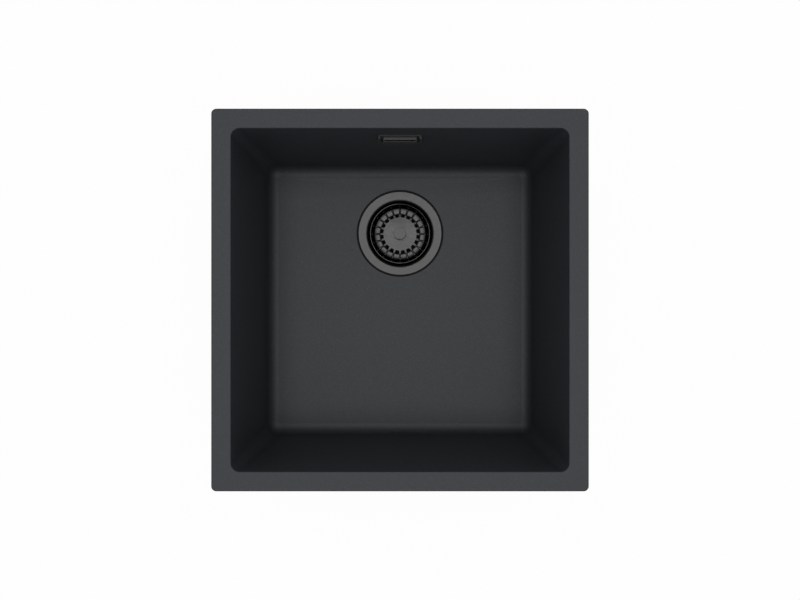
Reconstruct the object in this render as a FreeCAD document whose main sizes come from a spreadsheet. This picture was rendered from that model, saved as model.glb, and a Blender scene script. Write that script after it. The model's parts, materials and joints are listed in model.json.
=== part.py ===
import FreeCAD, Part
import math
import os
import Sketcher

# Granite kitchen sink with strainer waste, overflow and rim clamps.
# Millimetres. The origin is the centre of the rim's top face: +X right, +Y to the rear, +Z up.

V = FreeCAD.Vector
NO_TURN = FreeCAD.Rotation()
WHOLE_TURN = 360
HALF_TURN = 180
QUARTER_TURN = 90
COLLAR_BEVEL_SHARE = 0.15
SHEET_EDGE_SHARE = 0.33
HEAD_ROUND_SHARE = 0.67
SMALL_SHARE = 0.000001

SIZES = [
    # Bowl
    ("rim_width", "440", "rim, left to right"),
    ("rim_length", "446", "rim, front to rear"),
    ("rim_thick", "10", "rim slab"),
    ("rim_corner", "6", "rim corners seen from above"),
    ("rim_edge", "1.5", "rounding of the rim's edges"),
    ("rim_side", "23", "opening to the rim's edge, all round"),
    ("opening_corner", "10", "opening corners seen from above"),
    ("bowl_depth", "200", "rim top to floor"),
    ("wall_lean", "17.5", "each wall leans in by this from rim to floor"),
    ("floor_round", "14", "rounding between walls and floor"),
    ("floor_corner_left", "2.4", "corner radius left in the flat floor"),
    ("wall", "8", "wall, measured level"),
    ("floor_thick", "9", "floor"),
    ("base_round", "20", "rounding under the bowl"),
    ("floor_fall", "2", "fall of the floor to the drain"),
    ("drain_from_rear", "108", "drain centre from the opening's rear edge"),
    ("recess_gap", "3", "strainer flange to its recess, with the seal between"),
    ("recess_deep", "3", "depth of that recess"),
    ("fall_ring", "2", "level ring round the recess"),
    ("short_flat", "0.1", "flats left between the arcs of that ring"),
    ("drain_gap", "0.8", "strainer throat to the drain hole"),
    ("boss_edge", "6", "thickened ring under the drain past the recess"),
    ("boss_thick", "3", "thickness it adds"),
    ("overrun", "5", "how far a cut runs past a face"),
    # Strainer
    ("flange_radius", "57", "strainer flange"),
    ("strainer_gauge", "1.2", "strainer sheet"),
    ("throat_radius", "43.9", "strainer throat, inside"),
    ("throat_curve", "4", "curve from flange to throat"),
    ("seat_start", "20", "flange top to the start of the seat cone"),
    ("seat_drop", "12", "height of the seat cone"),
    ("sump_radius", "31", "sump below the seat, inside"),
    ("sump_floor", "44", "flange top to the sump's floor"),
    ("sump_curve", "3", "rounding in the sump"),
    ("sump_hole", "6.5", "radius of a sump hole"),
    ("sump_hole_place", "20", "centre circle of the sump holes"),
    ("sump_holes", "6", "count of sump holes"),
    ("seal_gap", "0.5", "flange seal to the recess and to the drain hole"),
    # Waste housing
    ("gasket_thick", "3", "gasket under the bowl"),
    ("waste_flange_edge", "10.5", "housing flange past the chamber"),
    ("waste_flange_thick", "4", "housing flange"),
    ("waste_wall", "3.5", "housing wall"),
    ("chamber_gap", "1.8", "strainer throat to the housing chamber"),
    ("chamber_floor", "50", "flange top to the start of the funnel"),
    ("funnel_drop", "16", "height of the funnel"),
    ("outlet_radius", "20", "outlet, inside"),
    ("outlet_outer", "23.9", "outlet thread, outside"),
    ("outlet_length", "32", "outlet below the funnel"),
    ("hub_radius", "8", "screw hub"),
    ("web_thick", "3", "webs that carry the hub"),
    ("web_top", "54", "flange top to the top of the webs"),
    ("web_low", "64", "flange top to the foot of the webs"),
    ("webs", "3", "count of webs"),
    ("inlet_drop", "34", "flange top to the overflow inlet's axis"),
    ("inlet_length", "17.5", "chamber to the inlet's end"),
    ("screw_radius", "3", "waste screw"),
    ("screw_head", "7.5", "waste screw head radius"),
    ("screw_head_thick", "3", "waste screw head"),
    ("insert_radius", "5", "waste insert, outside"),
    ("insert_length", "14", "waste insert"),
    ("fit", "0.05", "clearance of a close fit"),
    ("rest_gap", "0.3", "clearance between a moving piece and its seat"),
    # Basket
    ("basket_side", "2.4", "strainer throat to the basket rim"),
    ("basket_lean", "2.9", "basket wall leans in by this from rim to floor"),
    ("basket_gauge", "1.1", "basket sheet"),
    ("basket_drop", "3", "flange top to the basket's rim"),
    ("basket_floor", "22", "flange top to the basket's floor, inside"),
    ("basket_curve", "2", "rounding at the basket's floor"),
    ("basket_hole", "2.8", "radius of a basket floor hole"),
    ("side_slot_half", "1.1", "half width of a side slot"),
    ("side_slot_top", "8", "flange top to the top of a side slot"),
    ("side_slot_low", "18", "flange top to the foot of a side slot"),
    ("petals", "20", "petals, slots, teeth and floor holes"),
    ("sieve_side", "3.6", "basket wall to the petal ring"),
    ("petal_length", "8.5", "petal ring, inside to outside"),
    ("sieve_top", "12.5", "flange top to the petals"),
    ("sieve_thick", "2", "petal ring"),
    ("sieve_skirt", "1.2", "skirt under the petal ring"),
    ("sieve_round_out", "4.5", "outer rounding of the petals"),
    ("sieve_round_in", "2", "inner rounding of the petals"),
    ("sieve_lip", "3.5", "inner lip of the petal ring"),
    ("slot_half", "0.55", "half width of a slot between petals"),
    ("tooth_gap", "1.35", "petal ring to the cap's teeth"),
    ("tooth_length", "2.15", "teeth past the cap"),
    ("tooth_root_half", "2.1", "half width of a tooth at its root"),
    ("tooth_tip_half", "1.4", "half width of a tooth at its tip"),
    ("cap_top", "11", "flange top to the cap"),
    ("cap_thick", "1.2", "cap"),
    ("cap_hub", "6", "spacer under the cap, radius"),
    ("button_radius", "8", "knob"),
    ("button_high", "9", "knob over the cap"),
    ("button_round", "0.8", "rounding of the knob"),
    ("stem_radius", "3", "stem"),
    ("plug_side", "3", "height of the plug's upright side"),
    ("plug_low", "30", "flange top to the plug's foot"),
    ("seat_gap", "0.45", "plug to seat, measured level"),
    ("nut_flats", "10", "basket nut across its flats"),
    ("nut_high", "4", "basket nut"),
    # Overflow
    ("overflow_drop", "41.5", "rim top to the overflow's centre"),
    ("frame_cover", "3.6", "surround past the overflow hole at its sides"),
    ("frame_cover_high", "4", "surround past the overflow hole above and below"),
    ("hole_corner", "6", "overflow hole corners"),
    ("frame_width", "53.2", "surround"),
    ("frame_high", "25", "surround"),
    ("frame_corner", "10", "surround corners at its foot"),
    ("frame_top_corner", "2", "surround corners at its top"),
    ("frame_out", "4.6", "surround stands out from the wall"),
    ("frame_wall", "3", "surround wall"),
    ("frame_back", "1.4", "surround back plate"),
    ("frame_edge", "0.9", "rounding of the surround's edge"),
    ("sleeve_gap", "0.5", "sleeve to hole"),
    ("sleeve_wall", "2", "sleeve"),
    ("window_side", "5", "window to the screws"),
    ("window_corner", "2", "window corners"),
    ("arm_gap", "3.1", "cover plate to the surround's arms"),
    ("plate_down", "1.5", "cover plate's top below the surround's"),
    ("plate_foot_gap", "0.7", "cover plate's foot to the surround"),
    ("plate_out", "6.3", "cover plate stands out from the wall"),
    ("shelf_back", "0.6", "its top shelf is set back from its front"),
    ("plate_corner", "1.5", "cover plate corners at its top"),
    ("plate_foot_corner", "5", "cover plate corners at its foot"),
    ("plate_edge", "0.6", "rounding of the cover plate"),
    ("plate_side", "1.2", "cover plate above its slot"),
    ("plate_skin", "1.1", "cover plate front and side walls"),
    ("slot_side", "3.5", "slot to the plate's side"),
    ("slot_high", "5.8", "height of the slot"),
    ("tongue_thick", "1.6", "plate tongue"),
    ("tongue_deep", "3.4", "tongue reaches behind the wall face"),
    ("overflow_seal_thick", "2", "seal behind the wall"),
    ("seal_edge", "5", "seal past the hole"),
    ("elbow_flange_edge", "6", "elbow flange past the hole"),
    ("elbow_flange_thick", "3", "elbow flange"),
    ("elbow_wall", "2", "elbow wall"),
    ("elbow_top_reach", "18", "elbow depth at its top"),
    ("elbow_low_reach", "29", "elbow depth at its foot"),
    ("spigot_back", "17", "spigot axis behind the wall's outer face"),
    ("spigot_radius", "11", "spigots, outside"),
    ("spigot_bore", "8.5", "spigots and hose, bore"),
    ("spigot_low", "30", "overflow centre to the spigot's end"),
    ("post_side", "7", "overflow screws from the hole's side"),
    ("post_radius", "3.2", "screw posts"),
    ("post_front", "3", "posts reach this far into the wall"),
    ("small_screw", "1.6", "overflow screws, radius"),
    ("small_head", "2.9", "their heads, radius"),
    ("small_head_thick", "1.4", "their heads"),
    ("small_length", "14", "their length"),
    # Hose
    ("hose_nut_radius", "14", "hose nuts"),
    ("hose_nut_back", "9", "hose nuts reach over the spigot"),
    ("hose_nut_lip", "2", "lip that holds the hose's collar"),
    ("flute_radius", "1.2", "grip flutes"),
    ("flutes", "18", "count of grip flutes"),
    ("washer_thick", "2", "hose washers"),
    ("collar_radius", "10.9", "hose collars"),
    ("collar_thick", "1.5", "hose collars"),
    ("cuff_radius", "9.9", "hose between its ribs"),
    ("cuff_length", "8", "plain end of the hose"),
    ("crest_radius", "11.5", "hose over its ribs"),
    ("rib_pitch", "4", "hose ribs"),
    ("rib_slope", "0.9", "run of a rib's side"),
    ("rib_crest", "1.3", "run of a rib's crest"),
    # Clamps
    ("clamp_from_corner", "77", "bolt axis from the opening's corner, along the wall"),
    ("bolt_out", "4", "bolt axis from the wall's outer face at the rim"),
    ("lug_half", "9", "half width of a lug"),
    ("lug_edge", "5.5", "lug past the bolt axis"),
    ("lug_corner", "4", "lug corners"),
    ("lug_deep", "18", "lug below the rim slab"),
    ("brass_radius", "3.5", "rim inserts, outside"),
    ("brass_length", "12", "rim inserts"),
    ("bolt_radius", "2.5", "clamp bolts"),
    ("bolt_flats", "8", "bolt heads across their flats"),
    ("bolt_head_thick", "3.5", "bolt heads"),
    ("bolt_length", "42", "bolts under their heads"),
    ("clamp_half", "6", "half width of a clamp"),
    ("clamp_reach", "36", "bolt axis to the clamp's tip"),
    ("clamp_thick", "3", "clamp plate"),
    ("clamp_tip", "8", "height of the turned up tip"),
    ("clamp_tooth_half", "1.5", "half width of the notch in the tip"),
    ("clamp_tooth_deep", "2.5", "depth of that notch"),
    ("clamp_swing_gap", "0.06", "clamp hole over the bolt"),
]

doc = FreeCAD.newDocument("granite_sink")
sheet = doc.addObject("Spreadsheet::Sheet", "Sizes")


class Size:
    """A size with its value and the sheet expression that gives it."""

    def __init__(self, value, text):
        self.value = value
        self.text = text

    def __add__(self, other):
        return joined(self, "+", other, self.value + value_of(other))

    def __radd__(self, other):
        return joined(other, "+", self, value_of(other) + self.value)

    def __sub__(self, other):
        return joined(self, "-", other, self.value - value_of(other))

    def __rsub__(self, other):
        return joined(other, "-", self, value_of(other) - self.value)

    def __mul__(self, other):
        return joined(self, "*", other, self.value * value_of(other))

    def __rmul__(self, other):
        return joined(other, "*", self, value_of(other) * self.value)

    def __truediv__(self, other):
        return joined(self, "/", other, self.value / value_of(other))

    def __neg__(self):
        return Size(-self.value, f"(-1 * {self.text})")


class Sizes:
    """Holds every named size as an attribute."""


def value_of(item):
    return item.value if isinstance(item, Size) else item


def text_of(item):
    return item.text if isinstance(item, Size) else str(item)


def joined(left, sign, right, value):
    return Size(value, f"({text_of(left)} {sign} {text_of(right)})")


def fill_sheet():
    """Write the driving sizes to the sheet and return them by name."""
    sizes = Sizes()
    for row, (alias, amount, note) in enumerate(SIZES, start=1):
        sheet.set(f"A{row}", amount)
        sheet.set(f"B{row}", note)
        sheet.setAlias(f"A{row}", alias)
        setattr(sizes, alias, Size(float(amount), f"Sizes.{alias}"))
    return sizes


def keep(alias, size):
    """Keep a worked out size in the sheet under its own name."""
    keep.row += 1
    sheet.set(f"A{keep.row}", "=" + size.text.replace("Sizes.", ""))
    sheet.setAlias(f"A{keep.row}", alias)
    return Size(size.value, f"Sizes.{alias}")


keep.row = len(SIZES) + 1
dim = fill_sheet()
SMALL = dim.rim_width.value * SMALL_SHARE

# Sizes that several pieces share, worked out once
opening_half_x = keep("opening_half_x", dim.rim_width / 2 - dim.rim_side)
opening_half_y = keep("opening_half_y", dim.rim_length / 2 - dim.rim_side)
outer_half_x = keep("outer_half_x", opening_half_x + dim.wall)
outer_half_y = keep("outer_half_y", opening_half_y + dim.wall)
shell_deep = keep("shell_deep", dim.bowl_depth + dim.floor_thick)
shell_lean = keep("shell_lean", dim.wall_lean * shell_deep / dim.bowl_depth)
floor_corner = keep("floor_corner", dim.floor_round + dim.floor_corner_left)
drain_back = keep("drain_back", opening_half_y - dim.drain_from_rear)
drain_level = keep("drain_level", dim.bowl_depth + dim.floor_fall)
recess_radius = keep("recess_radius", dim.flange_radius + dim.recess_gap)
throat_out = keep("throat_out", dim.throat_radius + dim.strainer_gauge)
drain_radius = keep("drain_radius", throat_out + dim.drain_gap)
chamber_radius = keep("chamber_radius", throat_out + dim.chamber_gap)
waste_flange = keep("waste_flange", chamber_radius + dim.waste_flange_edge)
inlet_reach = keep("inlet_reach", chamber_radius + dim.inlet_length)
basket_radius = keep("basket_radius", dim.throat_radius - dim.basket_side)
basket_foot = keep("basket_foot", basket_radius - dim.basket_lean)
sieve_outer = keep("sieve_outer", basket_foot - dim.sieve_side)
sieve_inner = keep("sieve_inner", sieve_outer - dim.petal_length)
tooth_radius = keep("tooth_radius", sieve_inner - dim.tooth_gap)
cap_radius = keep("cap_radius", tooth_radius - dim.tooth_length)
pocket_place = keep("pocket_place", (cap_radius + sieve_inner) / 2)
gasket_top = keep("gasket_top", dim.floor_thick + dim.boss_thick - dim.floor_fall)
waste_top = keep("waste_top", gasket_top + dim.gasket_thick)
funnel_foot = keep("funnel_foot", dim.chamber_floor + dim.funnel_drop)
outlet_end = keep("outlet_end", funnel_foot + dim.outlet_length)
sump_under = keep("sump_under", dim.sump_floor + dim.strainer_gauge)
basket_under = keep("basket_under", dim.basket_floor + dim.basket_gauge)
bolt_x = keep("bolt_x", outer_half_x + dim.bolt_out)
bolt_y = keep("bolt_y", outer_half_y + dim.bolt_out)
clamp_x = keep("clamp_x", opening_half_x - dim.clamp_from_corner)
clamp_y = keep("clamp_y", opening_half_y - dim.clamp_from_corner)
lug_foot = keep("lug_foot", dim.rim_thick + dim.lug_deep)
bolt_head_level = keep("bolt_head_level", lug_foot - dim.brass_length + dim.bolt_length)

# The walls' lean as an angle, and the overflow's place on the leaning rear wall
lean_text = "atan(Sizes.wall_lean / Sizes.bowl_depth)"
lean_angle = math.degrees(math.atan2(dim.wall_lean.value, dim.bowl_depth.value))
lean = Size(lean_angle, lean_text)
along_hose = Size(HALF_TURN - lean_angle, f"({HALF_TURN} deg - {lean_text})")
lean_cos = Size(math.cos(math.radians(lean_angle)), f"cos({lean_text})")
lean_sin = Size(math.sin(math.radians(lean_angle)), f"sin({lean_text})")
wall_square = keep("wall_square", dim.wall * lean_cos)
hole_width = keep("hole_width", dim.frame_width - dim.frame_cover * 2)
hole_high = keep("hole_high", dim.frame_high - dim.frame_cover_high * 2)
arm_inside = keep("arm_inside", dim.frame_width / 2 - dim.frame_wall)
plate_half = keep("plate_half", arm_inside - dim.arm_gap)
plate_top = keep("plate_top", dim.frame_high / 2 - dim.plate_down)
plate_low = keep("plate_low", dim.frame_high / 2 - dim.frame_wall - dim.plate_foot_gap)
slot_reach = keep("slot_reach", plate_half - dim.slot_side)
slot_low = keep("slot_low", plate_top - dim.plate_side - dim.slot_high)
post_place = keep("post_place", hole_width / 2 - dim.post_side)
window_width = keep("window_width", (post_place - dim.window_side) * 2)
overflow_y = keep("overflow_y", opening_half_y - dim.wall_lean * dim.overflow_drop / dim.bowl_depth)
elbow_front = keep("elbow_front", wall_square + dim.overflow_seal_thick)
spigot_y = keep("spigot_y", wall_square + dim.spigot_back)
elbow_half = keep("elbow_half", hole_high / 2 + dim.sleeve_wall * 2)

# The two spigot ends between which the hose runs
upper_end_y = keep("upper_end_y", overflow_y + spigot_y * lean_cos - dim.spigot_low * lean_sin)
upper_end_z = keep("upper_end_z", -dim.overflow_drop - spigot_y * lean_sin - dim.spigot_low * lean_cos)
lower_end_y = keep("lower_end_y", drain_back + inlet_reach)
lower_end_z = keep("lower_end_z", -drain_level - dim.inlet_drop)


def bind(item, prop, size):
    item.setExpression(prop, text_of(size))


def plane(body, role):
    return next(f for f in body.Origin.OriginFeatures if f.Role == role)


def new_body(name, many=False):
    body = doc.addObject("PartDesign::Body", name)
    body.Label = name
    if many:
        body.AllowCompound = True
    return body


def new_sketch(body, name, role, offset):
    """An empty sketch on one of the body's own planes, moved along its normal."""
    sketch = body.newObject("Sketcher::SketchObject", name)
    sketch.AttachmentSupport = [(plane(body, role), "")]
    sketch.MapMode = "FlatFace"
    if isinstance(offset, Size):
        sketch.AttachmentOffset = FreeCAD.Placement(V(0, 0, offset.value), NO_TURN)
        bind(sketch, "AttachmentOffset.Base.z", offset)
    return sketch


def fix_point(sketch, item, end, x, y):
    """Tie one point of the sketch to the named place x, y."""
    for kind, axis, place in (("DistanceX", -2, x), ("DistanceY", -1, y)):
        if isinstance(place, Size):
            index = sketch.addConstraint(
                Sketcher.Constraint(kind, -1, 1, item, end, place.value))
            bind(sketch, f"Constraints[{index}]", place)
        else:
            sketch.addConstraint(Sketcher.Constraint("PointOnObject", item, end, axis))


def fix_radius(sketch, item, radius):
    index = sketch.addConstraint(Sketcher.Constraint("Radius", item, radius.value))
    bind(sketch, f"Constraints[{index}]", radius)


def round_corner(before, corner, after, radius):
    """The two tangent points and the centre of the arc that rounds a corner."""
    back = (before - corner).normalize()
    ahead = (after - corner).normalize()
    half = back.getAngle(ahead) / 2
    run = radius / math.tan(half)
    centre = corner + (back + ahead).normalize() * (radius / math.sin(half))
    return corner + back * run, corner + ahead * run, centre


def draw(sketch, corners):
    """Add one closed outline. A corner is (x, y) or, where it is rounded, (x, y, radius)."""
    count = len(corners)
    points = [V(value_of(c[0]), value_of(c[1]), 0) for c in corners]
    enters = list(points)
    leaves = list(points)
    arcs = {}
    for i, corner in enumerate(corners):
        if len(corner) == 3:
            found = round_corner(points[i - 1], points[i], points[(i + 1) % count], corner[2].value)
            enters[i], leaves[i] = found[0], found[1]
            arcs[i] = found
    first = sketch.GeometryCount
    for i in range(count):
        sketch.addGeometry(Part.LineSegment(leaves[i], enters[(i + 1) % count]))
    for i, corner in enumerate(corners):
        line_in = first + (i - 1) % count
        line_out = first + i
        if i not in arcs:
            sketch.addConstraint(Sketcher.Constraint("Coincident", line_in, 2, line_out, 1))
            fix_point(sketch, line_out, 1, corner[0], corner[1])
            continue
        enter, leave, centre = arcs[i]
        turn = (points[i] - points[i - 1]).cross(points[(i + 1) % count] - points[i]).z
        start, stop = (enter, leave) if turn > 0 else (leave, enter)
        arc = sketch.addGeometry(Part.ArcOfCircle(
            Part.Circle(centre, V(0, 0, 1), corner[2].value),
            math.atan2(start.y - centre.y, start.x - centre.x),
            math.atan2(stop.y - centre.y, stop.x - centre.x)))
        end_in, end_out = (1, 2) if turn > 0 else (2, 1)
        sketch.addConstraint(Sketcher.Constraint("Tangent", line_in, 2, arc, end_in))
        sketch.addConstraint(Sketcher.Constraint("Tangent", arc, end_out, line_out, 1))
        fix_radius(sketch, arc, corner[2])
        mark = sketch.addGeometry(Part.Point(points[i]), True)
        sketch.addConstraint(Sketcher.Constraint("PointOnObject", mark, 1, line_in))
        sketch.addConstraint(Sketcher.Constraint("PointOnObject", mark, 1, line_out))
        fix_point(sketch, mark, 1, corner[0], corner[1])
    return sketch


def outline(body, name, role, corners, offset=0):
    return draw(new_sketch(body, name, role, offset), corners)


def box_corners(left, right, low, high, *radius):
    return [(right, high, *radius), (left, high, *radius), (left, low, *radius), (right, low, *radius)]


def block(body, name, role, width, height, radius, offset=0):
    """A rectangle with rounded corners about the plane's centre."""
    corners = box_corners(-width / 2, width / 2, -height / 2, height / 2, radius)
    return outline(body, name, role, corners, offset)


def circles(body, name, role, places, offset=0):
    """One sketch with a circle at each (x, y, radius)."""
    sketch = new_sketch(body, name, role, offset)
    for x, y, radius in places:
        item = sketch.addGeometry(Part.Circle(V(value_of(x), value_of(y), 0), V(0, 0, 1), radius.value))
        if x == 0 and y == 0:
            sketch.addConstraint(Sketcher.Constraint("Coincident", item, 3, -1, 1))
        else:
            fix_point(sketch, item, 3, x, y)
        fix_radius(sketch, item, radius)
    return sketch


def add(body, kind, name, sketch):
    item = body.newObject(f"PartDesign::{kind}", name)
    item.Profile = sketch
    sketch.Visibility = False
    return item


def pad(body, name, sketch, length, ahead=True):
    """Grow the sketch along its plane's normal, or against it."""
    item = add(body, "Pad", name, sketch)
    bind(item, "Length", length)
    item.Reversed = not ahead
    return item


def pad_both(body, name, sketch, length):
    item = add(body, "Pad", name, sketch)
    bind(item, "Length", length)
    item.SideType = "Symmetric"
    return item


def cut(body, name, sketch, length, ahead=True):
    """Cut the sketch along its plane's normal, or against it."""
    item = add(body, "Pocket", name, sketch)
    bind(item, "Length", length)
    item.Reversed = ahead
    return item


def cut_both(body, name, sketch, length):
    item = add(body, "Pocket", name, sketch)
    bind(item, "Length", length)
    item.SideType = "Symmetric"
    return item


def turn(body, name, sketch):
    item = add(body, "Revolution", name, sketch)
    item.ReferenceAxis = (plane(body, "Z_Axis"), [""])
    item.Angle = WHOLE_TURN
    return item


def loft(body, kind, name, first, second):
    item = add(body, kind, name, first)
    item.Sections = [second]
    item.Ruled = True
    second.Visibility = False
    return item


def around(body, name, original, count):
    item = body.newObject("PartDesign::PolarPattern", name)
    item.Originals = [original]
    item.Axis = (plane(body, "Z_Axis"), [""])
    item.Angle = WHOLE_TURN
    bind(item, "Occurrences", count)
    body.Tip = item
    return item


def mirrored(body, name, originals, role):
    item = body.newObject("PartDesign::Mirrored", name)
    item.Originals = originals
    item.MirrorPlane = (plane(body, role), [""])
    body.Tip = item
    return item


def soften(body, name, base, radius, wanted):
    """Round the edges of base for which wanted(edge) holds."""
    doc.recompute()
    names = [f"Edge{i}" for i, edge in enumerate(base.Shape.Edges, start=1) if wanted(edge)]
    item = body.newObject("PartDesign::Fillet", name)
    item.Base = (base, names)
    bind(item, "Radius", radius)
    return item


def level_at(height):
    """A test for edges that lie level at one height."""
    def test(edge):
        box = edge.BoundBox
        return abs(box.ZMin - height) < SMALL and abs(box.ZMax - height) < SMALL
    return test


def facing(place):
    """A test for edges that lie in one plane across the body's own Y."""
    def test(edge):
        box = edge.BoundBox
        return abs(box.YMin - place) < SMALL and abs(box.YMax - place) < SMALL
    return test


def at_drain(body):
    """Stand a body on the drain axis with its zero at the strainer flange's top."""
    bind(body, "Placement.Base.y", drain_back)
    bind(body, "Placement.Base.z", -drain_level)


def at_overflow(body):
    """Lay a body against the leaning rear wall at the overflow's centre."""
    body.Placement = FreeCAD.Placement(V(0, 0, 0), FreeCAD.Rotation(V(1, 0, 0), -lean.value))
    bind(body, "Placement.Base.y", overflow_y)
    bind(body, "Placement.Base.z", -dim.overflow_drop)
    bind(body, "Placement.Rotation.Angle", -lean)


def hexagon(flats, x=0, y=0):
    """Corners of a hexagon with two flats across Y."""
    side = flats / math.sqrt(3)
    half = flats / 2
    return [(x + side, y), (x + side / 2, y + half), (x - side / 2, y + half),
            (x - side, y), (x - side / 2, y - half), (x + side / 2, y - half)]


def clamp_places():
    """Bolt axis and outward direction in degrees of each of the eight clamps."""
    places = []
    for side in (-1, 1):
        for along in (-1, 1):
            places.append((side * bolt_x, along * clamp_y, QUARTER_TURN * (1 - side)))
            places.append((along * clamp_x, side * bolt_y, QUARTER_TURN * side))
    return places


def make_bowl():
    body = new_body("bowl")
    rim = block(body, "rim_outline", "XY_Plane", dim.rim_width, dim.rim_length, dim.rim_corner)
    pad(body, "rim_slab", rim, dim.rim_thick, ahead=False)
    top = block(body, "shell_top", "XY_Plane", outer_half_x * 2, outer_half_y * 2,
                dim.opening_corner + dim.wall)
    low = block(body, "shell_low", "XY_Plane", (outer_half_x - shell_lean) * 2,
                (outer_half_y - shell_lean) * 2, floor_corner + dim.wall, -shell_deep)
    shell = loft(body, "AdditiveLoft", "shell", top, low)
    soften(body, "base_rounding", shell, dim.base_round, level_at(-shell_deep.value))
    add_lugs(body)
    ring = circles(body, "drain_ring", "XY_Plane", [(0, drain_back, recess_radius + dim.boss_edge)],
                   -(shell_deep + dim.boss_thick))
    pad(body, "drain_boss", ring, dim.boss_thick + dim.floor_thick / 2)
    mouth = block(body, "mouth", "XY_Plane", opening_half_x * 2, opening_half_y * 2, dim.opening_corner)
    floor = block(body, "floor", "XY_Plane", (opening_half_x - dim.wall_lean) * 2,
                  (opening_half_y - dim.wall_lean) * 2, floor_corner, -dim.bowl_depth)
    hollow = loft(body, "SubtractiveLoft", "hollow", mouth, floor)
    inside = soften(body, "floor_rounding", hollow, dim.floor_round, level_at(-dim.bowl_depth.value))
    soften(body, "rim_edges", inside, dim.rim_edge, level_at(0))
    add_fall(body)
    recess = circles(body, "recess_ring", "XY_Plane", [(0, drain_back, recess_radius)],
                     -(drain_level + dim.recess_deep))
    cut(body, "recess", recess, dim.recess_deep + dim.overrun)
    drain = circles(body, "drain_circle", "XY_Plane", [(0, drain_back, drain_radius)],
                    -drain_level)
    cut(body, "drain", drain, dim.floor_thick + dim.boss_thick + dim.overrun, ahead=False)
    add_overflow_hole(body)
    return body


def add_lugs(body):
    """Eight lugs under the rim slab with a hole from below for each insert."""
    shapes = new_sketch(body, "lug_outlines", "XY_Plane", -lug_foot)
    holes = []
    for x, y, turned in clamp_places():
        holes.append((x, y, dim.brass_radius))
        if turned in (0, HALF_TURN):
            side = 1 if turned == 0 else -1
            inner = side * (outer_half_x - dim.wall / 2)
            outer = x + side * dim.lug_edge
            near, far = y - dim.lug_half, y + dim.lug_half
            draw(shapes, [(inner, near), (outer, near, dim.lug_corner),
                          (outer, far, dim.lug_corner), (inner, far)])
        else:
            side = 1 if turned > 0 else -1
            inner = side * (outer_half_y - dim.wall / 2)
            outer = y + side * dim.lug_edge
            near, far = x - dim.lug_half, x + dim.lug_half
            draw(shapes, [(near, inner), (near, outer, dim.lug_corner),
                          (far, outer, dim.lug_corner), (far, inner)])
    pad(body, "lugs", shapes, dim.lug_deep + dim.rim_thick / 2)
    drilled = circles(body, "insert_circles", "XY_Plane", holes, -lug_foot)
    cut(body, "insert_holes", drilled, dim.brass_length)


def add_fall(body):
    """The floor falls from its edge to a level ring round the recess."""
    edge = block(body, "fall_edge", "XY_Plane",
                 (opening_half_x - dim.wall_lean - dim.floor_round) * 2,
                 (opening_half_y - dim.wall_lean - dim.floor_round) * 2,
                 dim.floor_corner_left, -dim.bowl_depth)
    half = recess_radius + dim.fall_ring
    low, high = drain_back - half, drain_back + half
    corners = box_corners(-half, half, low, high, half - dim.short_flat)
    ring = outline(body, "fall_ring", "XY_Plane", corners, -drain_level)
    loft(body, "SubtractiveLoft", "fall", edge, ring)


def add_overflow_hole(body):
    """A hole square to the leaning rear wall."""
    sketch = new_sketch(body, "overflow_outline", "XZ_Plane", 0)
    sketch.AttachmentOffset = FreeCAD.Placement(
        V(0, -dim.overflow_drop.value, -overflow_y.value),
        FreeCAD.Rotation(V(1, 0, 0), -lean.value))
    bind(sketch, "AttachmentOffset.Base.y", -dim.overflow_drop)
    bind(sketch, "AttachmentOffset.Base.z", -overflow_y)
    bind(sketch, "AttachmentOffset.Rotation.Angle", -lean)
    draw(sketch, box_corners(-hole_width / 2, hole_width / 2,
                             -hole_high / 2, hole_high / 2, dim.hole_corner))
    cut_both(body, "overflow_hole", sketch, (dim.wall + dim.overrun) * 2)


def make_strainer_body():
    body = new_body("strainer_body")
    at_drain(body)
    gauge = dim.strainer_gauge
    seat_end = dim.seat_start + dim.seat_drop
    sump_out = dim.sump_radius + gauge
    hole = dim.screw_radius + dim.fit
    sheet_section = outline(body, "section", "XZ_Plane", [
        (dim.flange_radius, 0),
        (dim.throat_radius, 0, dim.throat_curve),
        (dim.throat_radius, -dim.seat_start),
        (dim.sump_radius, -seat_end),
        (dim.sump_radius, -dim.sump_floor, dim.sump_curve),
        (hole, -dim.sump_floor),
        (hole, -sump_under),
        (sump_out, -sump_under, dim.sump_curve + gauge),
        (sump_out, -seat_end),
        (throat_out, -dim.seat_start),
        (throat_out, -gauge),
        (dim.flange_radius, -gauge)])
    turn(body, "pressing", sheet_section)
    ring = circles(body, "sump_circle", "XY_Plane", [(dim.sump_hole_place, 0, dim.sump_hole)], -sump_under)
    hole_cut = cut(body, "sump_opening", ring, gauge + dim.overrun)
    around(body, "sump_openings", hole_cut, dim.sump_holes)
    return body


def make_ring(name, inner, outer, top, foot, place=at_drain):
    """A plain ring between two radii and two levels below the flange's top."""
    body = new_body(name)
    place(body)
    section = outline(body, "section", "XZ_Plane", [
        (outer, -top), (inner, -top), (inner, -foot), (outer, -foot)])
    turn(body, "ring", section)
    return body


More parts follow.
